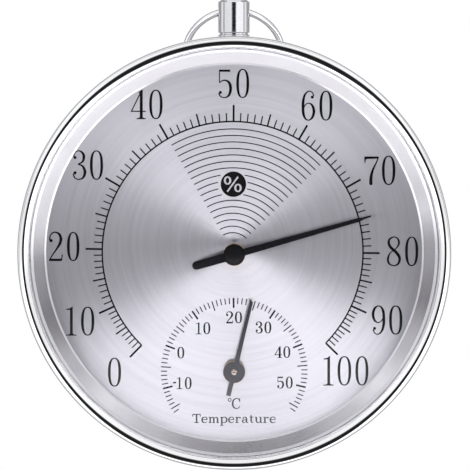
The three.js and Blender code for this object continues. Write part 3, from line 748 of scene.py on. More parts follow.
# Materials
class Graph:
    """Adds nodes to a material or a world, with numbers or sockets as inputs."""

    def __init__(self, owner):
        owner.use_nodes = True
        self.owner = owner
        self.tree = owner.node_tree
        self.tree.nodes.clear()

    def add(self, kind, inputs=None, **settings):
        node = self.tree.nodes.new(kind)
        for name, value in settings.items():
            setattr(node, name, value)
        for name, value in (inputs or {}).items():
            self.feed(node.inputs[name], value)
        return node

    def feed(self, socket, value):
        if isinstance(value, bpy.types.NodeSocket):
            self.tree.links.new(value, socket)
        else:
            socket.default_value = value

    def math(self, operation, *values):
        node = self.add("ShaderNodeMath", operation=operation)
        for socket, value in zip(node.inputs, values):
            self.feed(socket, value)
        return node.outputs[0]

    def smooth(self, value, low, high, at_low=0.0, at_high=1.0, kind="SMOOTHSTEP"):
        """Goes from one value to another as its input goes from low to high."""
        node = self.add("ShaderNodeMapRange", interpolation_type=kind)
        for name, number in zip(
            ("Value", "From Min", "From Max", "To Min", "To Max"), (value, low, high, at_low, at_high)
        ):
            self.feed(node.inputs[name], number)
        return node.outputs["Result"]

    def noise(self, vector, scale, detail=2.0, roughness=0.5):
        inputs = {"Vector": vector, "Scale": scale, "Detail": detail, "Roughness": roughness}
        return self.add("ShaderNodeTexNoise", inputs).outputs["Fac"]

    def blend(self, factor, low, high):
        """A colour between two others."""
        node = self.add("ShaderNodeMix", data_type="RGBA")
        self.feed(node.inputs["Factor"], factor)
        self.feed(node.inputs[6], (*low, 1.0))
        self.feed(node.inputs[7], (*high, 1.0))
        return node.outputs[2]

    def place(self):
        return self.add("ShaderNodeTexCoord").outputs["Object"]

    def turned_place(self, across, along, upright_axis=False, centre_z=0.0):
        """Coordinates that follow the lathe: fine from line to line, slow along each line."""
        split = self.add("ShaderNodeSeparateXYZ", {"Vector": self.place()})
        x, y, z = split.outputs
        if centre_z:
            z = self.math("SUBTRACT", z, centre_z)
        if upright_axis:
            y, z = z, self.math("ADD", y, hanger_depth)
        squares = self.math("MULTIPLY", x, x), self.math("MULTIPLY", z, z)
        radius = self.math("SQRT", self.math("ADD", *squares))
        near = self.math("MAXIMUM", radius, nearest_lathe_radius)
        parts = (
            self.math("MULTIPLY", self.math("SUBTRACT", radius, y), across),
            self.math("MULTIPLY", self.math("DIVIDE", x, near), along),
            self.math("MULTIPLY", self.math("DIVIDE", z, near), along),
        )
        return self.add("ShaderNodeCombineXYZ", dict(zip("XYZ", parts))).outputs[0]

    def outward(self, centre_z):
        """The direction away from a centre on the dial, across the lines of its brushing."""
        x, y, z = self.add("ShaderNodeSeparateXYZ", {"Vector": self.place()}).outputs
        parts = {"X": x, "Y": 0.0, "Z": self.math("SUBTRACT", z, centre_z)}
        way = self.add("ShaderNodeCombineXYZ", parts).outputs[0]
        turn = self.add(
            "ShaderNodeVectorTransform", {"Vector": way},
            vector_type="VECTOR", convert_from="OBJECT", convert_to="WORLD",
        )
        return turn.outputs[0]

    def follow(self, value, pairs):
        """Goes smoothly through (input, output) pairs."""
        first, last = pairs[0][0], pairs[-1][0]
        peak = max(output for entry, output in pairs)
        ramp = self.add("ShaderNodeValToRGB", {"Fac": self.smooth(value, first, last, kind="LINEAR")})
        ramp.color_ramp.interpolation = "EASE"
        points = ramp.color_ramp.elements
        while len(points) < len(pairs):
            points.new(0.5)
        for point, (entry, output) in zip(points, pairs):
            point.position = (entry - first) / (last - first)
            point.color = (output / peak, output / peak, output / peak, 1.0)
        return self.math("MULTIPLY", ramp.outputs["Color"], peak)

    def between(self, weight, low, high):
        """Goes from one input to another with a weight."""
        return self.math("MULTIPLY_ADD", weight, self.math("SUBTRACT", high, low), low)

    def bump(self, height, distance):
        inputs = {"Height": height, "Distance": distance, "Strength": 1.0}
        return self.add("ShaderNodeBump", inputs).outputs[0]

    def principled(self, **inputs):
        node = self.add("ShaderNodeBsdfPrincipled")
        for name, value in inputs.items():
            self.feed(node.inputs[name.replace("_", " ")], value)
        return self.surface(node)

    def surface(self, shader, kind="ShaderNodeOutputMaterial"):
        """Makes a shader the surface of the material or the world, and returns that."""
        self.add(kind, {"Surface": shader.outputs[0]})
        return self.owner

    def mixed(self, share, first, second):
        """A shader between two others."""
        return self.add("ShaderNodeMixShader", {0: share, 1: first.outputs[0], 2: second.outputs[0]})

    def grained(self, grain, dark, light, roughness, relief, **more):
        """A surface whose colour, gloss and relief all follow one grain."""
        return self.principled(
            Base_Color=self.blend(grain, dark, light),
            Roughness=self.smooth(grain, *grain_limits, *roughness),
            Normal=self.bump(grain, relief),
            **more,
        )


def new_graph(name):
    return Graph(bpy.data.materials.new(name))


def polished_steel(name, dull, tint):
    """Mirror bright steel, a little duller in specks, with the colour that it turns to at a slant."""
    graph = new_graph(name)
    place = graph.place()
    cloud = graph.noise(place, mirror_cloud_cells, 3.0)
    speck = graph.noise(place, mirror_speck_cells, 2.0)
    return graph.principled(
        Base_Color=graph.blend(cloud, (0.90, 0.90, 0.91), (0.95, 0.95, 0.96)),
        Metallic=1.0,
        Roughness=graph.smooth(speck, *mirror_speck_limits, dull / 2, dull),
        Specular_Tint=(tint, tint, tint, 1.0),
        Normal=graph.bump(speck, mirror_relief),
    )


def satin_steel():
    """The knob and its collar: turned and brightly finished, with a fine speckle."""
    graph = new_graph("satin_steel")
    place = graph.turned_place(*knob_cells, upright_axis=True)
    line = graph.noise(place, 1.0, 2.0)
    speck = graph.noise(graph.place(), knob_speck_cells, 2.0)
    return graph.principled(
        Base_Color=graph.blend(speck, (0.68, 0.68, 0.70), (0.84, 0.84, 0.86)),
        Metallic=1.0,
        Roughness=graph.smooth(line, *grain_limits, 0.10, 0.17),
        Normal=graph.bump(speck, knob_relief),
    )


def brushed_dial():
    graph = new_graph("brushed_dial")
    fine_place = graph.turned_place(*dial_fine_cells, centre_z=brushing_centre_z)
    broad_place = graph.turned_place(*dial_broad_cells, centre_z=brushing_centre_z)
    fine = graph.noise(fine_place, 1.0, 3.0, 0.6)
    broad = graph.noise(broad_place, 1.0, 2.0, 0.5)
    both = graph.math("ADD", graph.math("MULTIPLY", fine, 0.5), graph.math("MULTIPLY", broad, 0.5))
    return graph.principled(
        Base_Color=graph.blend(
            graph.smooth(both, *grain_limits), (0.43, 0.426, 0.457), (0.50, 0.496, 0.531)
        ),
        Metallic=1.0,
        Roughness=graph.smooth(both, *grain_limits, 0.40, 0.46),
        Anisotropic=1.0,
        Tangent=graph.outward(brushing_centre_z),
        Normal=graph.bump(fine, dial_relief),
    )


def satin_aluminium():
    graph = new_graph("satin_aluminium")
    line = graph.noise(graph.turned_place(*reflector_cells), 1.0, 2.0)
    colours = (0.69, 0.69, 0.71), (0.74, 0.74, 0.76)
    return graph.grained(line, *colours, (0.10, 0.14), reflector_relief, Metallic=1.0)


def turned_back():
    """The case's spun pan, with the fine rings that the spinning leaves."""
    graph = new_graph("spun_steel")
    line = graph.noise(graph.turned_place(*pan_cells), 1.0, 3.0, 0.6)
    colours = (0.66, 0.66, 0.68), (0.80, 0.80, 0.82)
    return graph.grained(line, *colours, (0.18, 0.32), metal_relief, Metallic=1.0)


def plain_metal(name, dark, light, roughness):
    graph = new_graph(name)
    grain = graph.noise(graph.place(), metal_cells, 3.0, 0.6)
    gloss = roughness - metal_gloss_spread, roughness + metal_gloss_spread
    return graph.grained(grain, dark, light, gloss, metal_relief, Metallic=1.0)


def paint(name, dark, light, roughness, relief=paint_relief):
    graph = new_graph(name)
    grain = graph.noise(graph.place(), paint_cells, 2.0)
    gloss = roughness - paint_gloss_spread, roughness + paint_gloss_spread
    return graph.grained(grain, dark, light, gloss, relief, Specular_IOR_Level=paint_mirror_level)


def clear_glass():
    """Clear glass with a whitish painted reflection veil that grows towards its lower edge."""
    graph = new_graph("clear_glass")
    # Painted reflection: a whitish diffuse veil, thickest at the bottom, stands in for bright light below
    # mirrored in the glass
    height = graph.add("ShaderNodeSeparateXYZ", {"Vector": graph.place()}).outputs["Z"]
    painted_veil_amount = graph.smooth(height, *painted_veil_heights, 0.0, painted_veil_share, kind="LINEAR")
    patchy = graph.noise(graph.place(), painted_veil_patch_cells, 3.0)
    painted_veil_amount = graph.math("MULTIPLY", painted_veil_amount, graph.smooth(patchy, *painted_veil_patch_limits, *painted_veil_patch_shares))
    clear = graph.add("ShaderNodeBsdfTransparent", {"Color": (0.99, 0.987, 0.992, 1.0)})
    gloss = graph.add("ShaderNodeBsdfGlossy", {"Color": (1, 1, 1, 1), "Roughness": 0.02})
    painted_veil = graph.add("ShaderNodeBsdfDiffuse", {"Color": (0.8, 0.8, 0.83, 1.0)})
    slant = graph.add("ShaderNodeLayerWeight", {"Blend": 0.5}).outputs["Facing"]
    slanting = graph.math("POWER", slant, mirror_slant_power)
    mirrored = graph.math("MULTIPLY_ADD", slanting, mirror_slant_share, mirror_straight_share)
    shine = graph.mixed(mirrored, clear, gloss)
    return graph.surface(graph.mixed(painted_veil_amount, shine, painted_veil))


steel = polished_steel("polished_steel", 0.10, 1.0)
wire_steel = polished_steel("polished_wire", 0.05, 0.0)
knob_steel = satin_steel()
spun_steel = turned_back()
dial_metal = brushed_dial()
reflector_metal = satin_aluminium()
glass = clear_glass()
zinc_steel = plain_metal("zinc_steel", (0.50, 0.51, 0.53), (0.64, 0.65, 0.67), 0.35)
brass = plain_metal("turned_brass", (0.58, 0.41, 0.20), (0.72, 0.54, 0.29), 0.32)
bright_brass = plain_metal("bright_brass", (0.74, 0.60, 0.52), (0.88, 0.76, 0.70), 0.25)
rubber = paint("black_rubber", (0.02, 0.02, 0.02), (0.05, 0.05, 0.05), 0.75, rubber_relief)
black_ink = paint("black_ink", (0.0010, 0.0010, 0.0013), (0.0030, 0.0030, 0.0036), 0.55, ink_relief)
grey_ink = paint("grey_ink", (0.022, 0.022, 0.025), (0.032, 0.032, 0.036), 0.55, ink_relief)
white_ink = paint("white_ink", (0.30, 0.30, 0.31), (0.36, 0.36, 0.37), 0.5, ink_relief)
black_paint = paint("black_hand_paint", (0.0020, 0.0020, 0.0026), (0.0045, 0.0045, 0.0058), 0.4)
grey_paint = paint("grey_hand_paint", (0.022, 0.022, 0.026), (0.036, 0.036, 0.042), 0.4)


# The case, from the back to the front
def case_outline(gap, steps=corner_steps):
    corner = case_corner_radius + gap
    return arc(case_radius - case_corner_radius, case_corner_radius, corner, -90, 0, steps)


def cut(piece, cutters):
    """Cuts closed meshes out of a piece, and tidies its shading."""
    tools = []
    for i, mesh in enumerate(cutters):
        tool = bpy.data.objects.new("cutter", mesh)
        bpy.context.scene.collection.objects.link(tool)
        modifier = piece.modifiers.new("cut_" + str(i), "BOOLEAN")
        modifier.operation = "DIFFERENCE"
        modifier.solver = "EXACT"
        modifier.object = tool
        tools.append(tool)
    seen = piece.evaluated_get(bpy.context.evaluated_depsgraph_get())
    bm = bmesh.new()
    bm.from_mesh(seen.to_mesh())
    piece.modifiers.clear()
    material = piece.data.materials[0]
    piece.data = finish_mesh(piece.name, bm)
    piece.data.materials.append(material)
    for tool in tools:
        bpy.data.objects.remove(tool)


def disc_mesh(radius, back, front, x, z):
    profile = [(0, back), (radius, back), (radius, front), (0, front)]
    return turned("disc", profile, hole_sides, Matrix.Translation((x, 0, z)))


def slot_mesh(x, z, back, front):
    reach = (slot_length - slot_width) / 2
    upper = arc(x, z + reach, slot_width / 2, 0, 180, slot_end_steps)
    lower = arc(x, z - reach, slot_width / 2, 180, 360, slot_end_steps)
    bm = bmesh.new()
    prism(bm, upper + lower, back, front)
    return finish_mesh("slot", bm)


def make_case():
    profile = (
        [(0, 0)] + case_outline(0)
        + [
            (case_radius, crimp_front),
            (stack_radius, crimp_front),
            (stack_radius, case_front),
            (case_radius - case_wall, case_front),
        ]
        + case_outline(-case_wall)[::-1]
        + [(0, case_wall)]
    )
    piece = add_turned("spun_case", profile, spun_steel, "polished_steel")
    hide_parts("rear_case")
    through = (-case_wall, 2 * case_wall)
    cutters = []
    for i in range(vent_count):
        angle = 2 * math.pi * (i + 0.5) / vent_count
        x, z = vent_circle_radius * math.sin(angle), vent_circle_radius * math.cos(angle)
        cutters.append(disc_mesh(vent_radius, *through, x, z))
    for pivot_z in (humidity_pivot_z, temperature_pivot_z):
        cutters.append(slot_mesh(slot_offset, pivot_z, *through))
    cut(piece, cutters)


def bead_line(wall):
    """The bead's section from its outer foot over its crest to its lip, drawn in by a wall."""
    line = []
    for i in range(bead_steps + 1):
        angle = math.pi * i / bead_steps
        outside = 2 * i < bead_steps
        foot = bezel_radius if outside else bezel_radius - 2 * bead_radius
        reach = abs(foot - bead_crest_radius) - wall
        power = bead_squareness_share if outside else 1.0
        line.append((
            bead_crest_radius + reach * math.copysign(abs(math.cos(angle)) ** power, math.cos(angle)),
            bead_depth + (bead_radius - wall) * math.sin(angle) ** power,
        ))
    return line


def make_bezel():
    inside = bezel_radius - bezel_wall
    lip = bezel_radius - 2 * bead_radius
    profile = (
        [(bezel_radius - crimp_width, crimp_front - bezel_wall)]
        + arc(inside, crimp_front, bezel_wall, -90, 0, corner_steps)
        + bead_line(0)
        + [(lip, gasket_front), (lip + bezel_wall, gasket_front)]
        + bead_line(bezel_wall)[::-1]
        + [(inside, crimp_front), (bezel_radius - crimp_width, crimp_front)]
    )
    piece = add_turned("bezel", profile, steel, "polished_steel")
    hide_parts("front_bezel")


def make_reflector():
    """The sloping ring, from the lip at its foot up to the glass, and round its hollow back."""
    soft = edge_softening
    shoulder = reflector_shoulder_radius
    lip_radius = reflector_foot_radius + reflector_lip_width
    lip_front = dial_front + reflector_lip_height
    slope_front = lip_front + (shoulder - reflector_foot_radius - reflector_lip_width) * reflector_slope
    profile = [
        (reflector_foot_radius, dial_front),
        (lip_radius - soft, lip_front - soft / 2),
        (lip_radius, lip_front),
        (shoulder, slope_front),
        (shoulder, lens_back - reflector_rim_rise),
        (shoulder + reflector_rim_width, lens_back),
        (stack_radius, lens_back),
        (stack_radius, dial_front),
        (stack_radius - reflector_wall, dial_front),
        (stack_radius - reflector_wall, lens_back - reflector_wall),
        (shoulder + reflector_wall, lens_back - reflector_wall),
        (shoulder + reflector_wall, slope_front),
        (reflector_foot_radius + reflector_wall, dial_front),
    ]
    mesh = turned("sloping_ring", profile, case_sides, sharp_angle=reflector_sharp_degrees)
    piece = add_piece("sloping_ring", mesh, reflector_metal, "case")
    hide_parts("reflector_ring")


def make_lens():
    soft = edge_softening
    profile = [
        (0, lens_back),
        (stack_radius - soft, lens_back),
        (stack_radius, lens_back + soft),
        (stack_radius, lens_front - soft),
        (stack_radius - soft, lens_front),
        (0, lens_front),
    ]
    piece = add_turned("glass", profile, glass, "clear_glass")
    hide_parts("lens")


def make_gasket():
    soft = 2 * edge_softening
    profile = [
        (gasket_inner_radius, lens_front + soft),
        (gasket_inner_radius, gasket_front - soft),
        (gasket_inner_radius + soft, gasket_front),
        (stack_radius - soft, gasket_front),
        (stack_radius, gasket_front - soft),
        (stack_radius, lens_front + soft),
        (stack_radius - soft, lens_front),
        (gasket_inner_radius + soft, lens_front),
    ]
    piece = add_turned("gasket_ring", profile, rubber, "black_rubber")
    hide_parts("lens_gasket")


def make_dial():
    profile = [(0, dial_back), (stack_radius, dial_back), (stack_radius, dial_front), (0, dial_front)]
    piece = add_turned("dial", profile, dial_metal, "brushed_dial")
    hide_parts("dial_plate")
    through = (dial_back - case_wall, dial_front + case_wall)
    cut(piece, [
        disc_mesh(bush_barrel_radius, *through, 0, pivot_z)
        for pivot_z in (humidity_pivot_z, temperature_pivot_z)
    ])


# Print on the dial
def print_piece(name, bm, ink):
    add_piece(name, finish_mesh(name, bm), ink, "case")


def print_humidity_scale():
    bm = bmesh.new()
    centre = photo_place(*humidity_centre_pixel)
    radius = humidity_arc_pixels * dial_pixel
    first, last = humidity_decade_degrees[0], humidity_decade_degrees[-1]
    arc_mark(bm, centre, radius, humidity_line_pixels * dial_pixel, first, last)
    for decade, start in enumerate(humidity_decade_degrees):
        ticks = 1 if start == last else ticks_per_decade
        following = humidity_decade_degrees[min(decade + 1, len(humidity_decade_degrees) - 1)]
        for i in range(ticks):
            length, width = minor_tick_pixels
            if i == 0:
                length, width = ten_tick_pixels
            elif i == ticks_per_decade // 2:
                length, width = five_tick_pixels
            degrees = start + (following - start) * i / ticks_per_decade
            ray_mark(bm, centre, radius, radius + length * dial_pixel, width * dial_pixel, degrees)
    print_piece("humidity_scale_print", bm, black_ink)


def print_temperature_scale():
    bm = bmesh.new()
    centre = photo_place(*temperature_centre_pixel)
    radius = temperature_radius_pixels * dial_pixel
    for celsius in range(temperature_lowest, temperature_highest + 1):
        length, width = small_tick_pixels
        if celsius % 10 == 0:
            length, width = small_ten_pixels
        elif celsius % 5 == 0:
            length, width = small_five_pixels
        degrees = (celsius - temperature_at_top) * degrees_per_celsius
        ray_mark(bm, centre, radius, radius - length * dial_pixel, width * dial_pixel, degrees)
    print_piece("temperature_scale_print", bm, black_ink)


def print_fan():
    bm = bmesh.new()
    centre = photo_place(*humidity_centre_pixel)
    height = (humidity_centre_pixel[1] - percent_pixel[1]) * dial_pixel
    clear = percent_clear_pixels * dial_pixel
    for i in range(fan_line_count):
        radius = (fan_first_pixels + fan_pitch_pixels * i) * dial_pixel
        cosine = (radius ** 2 + height ** 2 - clear ** 2) / (2 * radius * height)
        spans = [(fan_start_degrees, fan_end_degrees)]
        if cosine < 1:
            gap = math.degrees(math.acos(cosine))
            spans = [(fan_start_degrees, -gap), (gap, fan_end_degrees)]
        for start, end in spans:
            arc_mark(bm, centre, radius, fan_line_pixels * dial_pixel, start, end)
    print_piece("comfort_fan_print", bm, black_ink)


def print_percent():
    x, z = photo_place(*percent_pixel)
    top = dial_front + print_height
    higher = top + print_height
    bm = bmesh.new()
    disc = arc(x, z, percent_radius_pixels * dial_pixel, 0, 360, turned_sides)[:-1]
    prism(bm, disc, dial_front, top)
    print_piece("percent_disc_print", bm, black_ink)
    bm = bmesh.new()
    thin, thick = percent_stroke_pixels
    wide, high = percent_loop_size_pixels
    for px, py in percent_loop_pixels:
        loop = []
        for a, b in arc(0, 0, 1, 0, 360, loop_steps)[:-1]:
            width = thin + (thick - thin) * abs(a)
            loop.append((*photo_place(px + a * wide, py - b * high), width * dial_pixel))
        stroke(bm, loop, top, higher, closed=True)
    slash_width = percent_slash_width_pixels * dial_pixel
    slash = [(*photo_place(px, py), slash_width) for px, py in percent_slash_pixels]
    stroke(bm, slash, top, higher + print_layer)
    print_piece("percent_sign_print", bm, white_ink)


def print_signs(name, rows, stem_pixels, ink):
    bm = bmesh.new()
    for top, bottom, *signs in rows:
        for character, left, right in signs:
            sign(bm, character, left, top, right, bottom, stem_pixels)
    print_piece(name, bm, ink)


def print_degree_ring():
    bm = bmesh.new()
    x, z = photo_place(*degree_ring_pixel)
    circle = arc(x, z, degree_ring_pixels * dial_pixel, 0, 360, small_ring_steps)[:-1]
    ring = [(x, z, degree_ring_line_pixels * dial_pixel) for x, z in circle]
    stroke(bm, ring, dial_front, dial_front + print_height, closed=True)
    print_piece("degree_ring_print", bm, grey_ink)


def word_rows():
    rows = []
    left = word_left_pixel
    heights = {"T": word_cap_height_pixels, "t": word_tall_height_pixels}
    for letter, width in word_letter_pixels:
        top = word_baseline_pixel - heights.get(letter, word_x_height_pixels)
        bottom = word_baseline_pixel + (word_descent_pixels if letter == "p" else 0)
        rows.append((top, bottom, (letter, left, left + width)))
        left += width + word_gap_pixels
    return rows


# Hands
def hand_outline(root, tail, blade_points, tail_points):
    """A hub with a blade above and a tail below, from its right side round clockwise."""
    blade_angle = math.degrees(math.asin(root / hub_radius))
    tail_angle = math.degrees(math.asin(tail / hub_radius))
    right = arc(0, 0, hub_radius, 90 - blade_angle, tail_angle - 90, hub_steps)
    left = arc(0, 0, hub_radius, 270 - tail_angle, 90 + blade_angle, hub_steps)
    return right + tail_points + left + blade_points


def add_hand(kind, outline, pivot_z, rest_degrees, colour, slot):
    """Adds the plate of a hand at its reading, and returns the depth of its front."""
    name = kind + "_hand_plate"
    back = -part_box(kind + "_pointer")[1].y
    front = back + hand_thickness
    bm = bmesh.new()
    prism(bm, outline, back, front)
    rim = [edge for edge in bm.edges if all(v.co.y < -back - hand_thickness / 2 for v in edge.verts)]
    bmesh.ops.bevel(bm, geom=rim, offset=hand_bevel, segments=2, profile=0.5, affect="EDGES")
    bm.transform(at_pivot(pivot_z) @ Matrix.Rotation(math.radians(rest_degrees), 4, "Y"))
    piece = add_piece(name, finish_mesh(name, bm), colour, kind + "_hand")
    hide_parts(kind + "_pointer")
    return front


def make_humidity_hand():
    root, neck = humidity_blade_root_width / 2, humidity_blade_neck_width / 2
    tail = humidity_tail_width / 2
    shoulder = humidity_hand_length - humidity_point_length
    blade = [(-neck, shoulder), (0, humidity_hand_length), (neck, shoulder)]
    tail_end = arc(0, tail - humidity_tail_length, tail, 0, -180, dome_steps)
    outline = hand_outline(root, tail, blade, tail_end)
    sizes = humidity_pivot_z, humidity_rest_degrees
    base = add_hand("humidity", outline, *sizes, black_paint, "black_paint")
    profile = [(0, base)] + dome(hub_radius, base, cap_height) + [(0, base + cap_height)]
    where = turned_sides, at_pivot(humidity_pivot_z), "humidity_hand"
    piece = add_turned("humidity_cap", profile, black_paint, "black_paint", *where)
    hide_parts("humidity_pointer_cap")


def make_temperature_hand():
    root, tip = temperature_blade_root_width / 2, temperature_blade_tip_width / 2
    tail = temperature_tail_width / 2
    blade = [(-tip, temperature_hand_length), (tip, temperature_hand_length)]
    tail_end = [(tail, -temperature_tail_length), (-tail, -temperature_tail_length)]
    outline = hand_outline(root, tail, blade, tail_end)
    sizes = temperature_pivot_z, temperature_rest_degrees
    add_hand("temperature", outline, *sizes, grey_paint, "grey_paint")


def make_shaft():
    """The temperature hand's shaft, with a centre mark in its end."""
    low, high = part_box("temperature_arbor")
    tip, back = -low.y, -high.y
    soft = edge_softening
    profile = [
        (0, back),
        (arbor_radius - soft, back),
        (arbor_radius, back + soft),
        (arbor_radius, tip - soft),
        (arbor_radius - soft, tip),
        (arbor_centre_radius, tip),
        (arbor_centre_radius, tip - arbor_centre_depth),
        (0, tip - arbor_centre_depth),
    ]
    where = shaft_sides, at_pivot(temperature_pivot_z), "temperature_hand"
    piece = add_turned("temperature_shaft", profile, bright_brass, "movement_brass", *where)
    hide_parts("temperature_arbor")


def make_bush(name, pivot_z):
    back = -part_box(name)[1].y
    soft = edge_softening
    bore = arbor_radius + arbor_gap
    barrel = bush_barrel_radius - bush_fit_gap
    profile = [
        (bore, back),
        (bush_rivet_radius - soft, back),
        (bush_rivet_radius, back + soft),
        (bush_rivet_radius, back + bush_rivet_thickness),
        (barrel, back + bush_rivet_thickness),
        (barrel, dial_front),
        (bush_flange_radius, dial_front),
        (bush_flange_radius, bush_front - 2 * soft),
        (bush_flange_radius - 2 * soft, bush_front),
        (bore, bush_front),
    ]
    where = turned_sides, at_pivot(pivot_z)
    piece = add_turned(name + "_turned", profile, brass, "movement_brass", *where)
    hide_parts(name)


# The hanger
def make_knob():
    foot = knob_low.z - saddle_top
    groove = knob_radius - knob_groove_depth
    edge = knob_groove_height + knob_edge_radius
    shoulder = knob_height - knob_shoulder_height
    side_heights = (edge + edge_softening, shoulder - edge_softening, shoulder)
    shoulder_radius = knob_radius - knob_shoulder_inset
    crown_height = knob_high.z - saddle_top - knob_height
    profile = (
        [(0, foot), (stud_radius, foot), (stud_radius, 0), (groove, 0), (groove, knob_groove_height)]
        + arc(knob_radius - knob_edge_radius, edge, knob_edge_radius, -90, 0, edge_steps)
        + [(knob_radius, height) for height in side_heights]
        + [(shoulder_radius, knob_height)]
        + dome(shoulder_radius - knob_crown_inset, knob_height, crown_height)
        + [(0, knob_height + crown_height)]
    )
    piece = add_turned("knob", profile, knob_steel, "polished_steel", turned_sides, upright(saddle_top))
    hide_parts("hanger_knob")
    reach = 2 * knob_radius
    hole_profile = [(0, -reach), (cross_hole_radius, -reach), (cross_hole_radius, reach), (0, reach)]
    hole = turned("hole", hole_profile, shaft_sides)
    sideways = Matrix.Rotation(math.pi / 2, 4, "Z")
    hole.transform(Matrix.Translation((0, -hanger_depth, cross_hole_z)) @ sideways)
    cut(piece, [hole])


def make_saddle():
    """The collar between the knob and the case, hollowed to the case's shape."""
    bottom = case_radius - case_corner_radius - saddle_top
    bore = stud_radius + stud_gap
    soft = saddle_edge_softening
    profile = [
        (bore, bottom),
        (knob_radius, bottom),
        (knob_radius, -soft),
        (knob_radius - soft, 0),
        (bore, 0),
    ]
    piece = add_turned("collar", profile, knob_steel, "polished_steel", turned_sides, upright(saddle_top))
    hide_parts("hanger_saddle")
    gap = saddle_case_gap
    space = [(0, -gap)] + case_outline(gap) + [(case_radius + gap, case_front), (0, case_front)]
    cut(piece, [turned("space", space, case_sides)])


def make_ring():
    """The hanging ring: round wire, leaning back against the case."""
    low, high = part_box("hanging_ring")
    pivot = Vector((0, -hanger_depth, cross_hole_z))
    centre = Vector((0, (low.y + high.y) / 2, (low.z + high.z) / 2))
    down = (centre - pivot).normalized()
    right = Vector((1, 0, 0))
    across = down.cross(right)
    bm = bmesh.new()
    rings = []
    for i in range(ring_steps):
        angle = 2 * math.pi * i / ring_steps
        out = down * math.cos(angle) + right * math.sin(angle)
        rings.append([
            bm.verts.new(centre + out * (ring_radius + ring_wire_radius * math.cos(turn))
                         + across * ring_wire_radius * math.sin(turn))
            for turn in [2 * math.pi * j / wire_sides for j in range(wire_sides)]
        ])
    for near, far in zip(rings, rings[1:] + rings[:1]):
        for j in range(wire_sides):
            k = (j + 1) % wire_sides
            bm.faces.new([near[j], near[k], far[k], far[j]])
    piece = add_piece("wire_ring", finish_mesh("wire_ring", bm), wire_steel, "ring")
    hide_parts("hanging_ring")


def dress_kept_nodes():
    """Gives the pieces that keep their own shape their finish."""
    finishes = {"plain_steel": zinc_steel, "movement_brass": brass}
    for row in frame["record"]["subparts"]:
        if row["material_slot"] in finishes:
            thing = bpy.data.objects.get(row["node"])
            if thing is not None:
                thing.data.materials.clear()
                thing.data.materials.append(finishes[row["material_slot"]])


# The studio
def make_floor():
    bm = bmesh.new()
    bmesh.ops.create_circle(bm, cap_ends=True, radius=floor_radius, segments=turned_sides)
    bm.transform(Matrix.Translation(floor_place))
    floor = bpy.data.objects.new("floor", finish_mesh("floor", bm))
    bpy.context.scene.collection.objects.link(floor)
    floor.data.materials.append(paint("pale_floor", (0.78, 0.78, 0.78), (0.82, 0.82, 0.82), 0.7))


def dark_stretch(graph, raised, sideways):
    """How dark the studio is at a height and an angle to the side, from nought to one."""
    half_width = graph.smooth(raised, *dark_width_heights, *dark_half_widths)
    soft_width = graph.math("MULTIPLY", half_width, dark_soft_width_share)
    band = graph.smooth(sideways, half_width, soft_width, 1.0, 0.0)
    low_fade = graph.smooth(raised, *dark_low_heights, kind="LINEAR")
    low_fade = graph.math("SUBTRACT", 1.0, graph.math("MULTIPLY", low_fade, low_fade))
    high_fade = graph.smooth(raised, *dark_high_heights, 1.0, 0.0)
    return graph.math("MULTIPLY", band, graph.math("MULTIPLY", low_fade, high_fade))


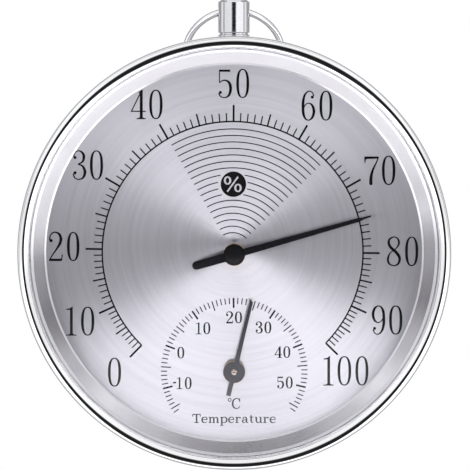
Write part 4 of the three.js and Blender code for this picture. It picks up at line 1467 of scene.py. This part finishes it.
def make_studio():
    """Soft white surroundings with uneven light, and a dark stretch round the camera."""
    world = bpy.data.worlds.new("studio")
    bpy.context.scene.world = world
    graph = Graph(world)
    way = graph.add("ShaderNodeTexCoord").outputs["Generated"]
    x, y, z = graph.add("ShaderNodeSeparateXYZ", {"Vector": way}).outputs
    front = graph.math("MULTIPLY", y, -1.0)
    raised = graph.math("DEGREES", graph.math("ARCSINE", z))
    sideways = graph.math("ABSOLUTE", graph.math("DEGREES", graph.math("ARCTAN2", x, front)))
    polar = graph.math("DEGREES", graph.math("ARCCOSINE", front))
    azimuth = graph.math("DEGREES", graph.math("ARCTAN2", x, z))
    azimuth = graph.math("ABSOLUTE", graph.math("ADD", azimuth, studio_tilt_degrees))
    before = graph.follow(azimuth, studio_front_levels)
    slanting = graph.follow(azimuth, studio_slant_levels)
    beside = graph.follow(azimuth, studio_side_levels)
    behind = graph.follow(polar, studio_back_levels)
    from_side = graph.math("ABSOLUTE", graph.math("SUBTRACT", polar, 90.0))
    level = graph.between(graph.smooth(polar, *slant_start_degrees), before, slanting)
    level = graph.between(graph.smooth(polar, *slant_end_degrees), level, behind)
    level = graph.between(graph.smooth(from_side, *side_end_degrees), beside, level)
    dark = dark_stretch(graph, raised, sideways)
    left = graph.smooth(dark, 0.0, 1.0, 1.0, dark_level_share, kind="LINEAR")
    level = graph.math("MULTIPLY", level, left)
    seen = graph.add("ShaderNodeLightPath").outputs["Is Camera Ray"]
    light = graph.add("ShaderNodeBackground", {"Color": studio_colour, "Strength": level})
    white = graph.add("ShaderNodeBackground", {"Color": (1, 1, 1, 1), "Strength": 1.0})
    graph.surface(graph.mixed(seen, light, white), "ShaderNodeOutputWorld")
    bpy.context.scene.view_settings.view_transform = "Standard"


def make_lamps():
    """Lamps that light the dial and what lies on it, but not the glass and the metal round it."""
    lit = bpy.data.collections.new("lit_by_lamps")
    for thing in bpy.context.scene.objects:
        if thing.type == "MESH" and thing.name not in lamp_skips:
            lit.objects.link(thing)
    for i, (place, size, watts) in enumerate(lamps):
        data = bpy.data.lights.new("low_lamp_" + str(i), "AREA")
        data.shape = "RECTANGLE"
        data.size, data.size_y = size
        data.energy = watts
        data.spread = lamp_spread
        lamp = bpy.data.objects.new(data.name, data)
        facing = (Vector(place) - Vector(lamp_aim)).to_track_quat("Z", "Y").to_matrix().to_4x4()
        lamp.matrix_world = Matrix.Translation(place) @ facing
        lamp.visible_camera = False
        lamp.light_linking.receiver_collection = lit
        bpy.context.scene.collection.objects.link(lamp)


make_camera()
make_studio()
make_floor()
make_case()
make_bezel()
make_reflector()
make_lens()
make_gasket()
make_dial()
print_humidity_scale()
print_temperature_scale()
print_fan()
print_percent()
print_signs("humidity_numbers_print", humidity_number_pixels, humidity_stem_pixels, black_ink)
print_signs("temperature_numbers_print", temperature_number_pixels, temperature_stem_pixels, black_ink)
print_signs("celsius_print", celsius_letter_pixels, temperature_stem_pixels, grey_ink)
print_degree_ring()
print_signs("word_print", word_rows(), word_stem_pixels, grey_ink)
make_humidity_hand()
make_temperature_hand()
make_shaft()
make_bush("humidity_bush", humidity_pivot_z)
make_bush("temperature_bush", temperature_pivot_z)
make_knob()
make_saddle()
make_ring()
dress_kept_nodes()
make_lamps()
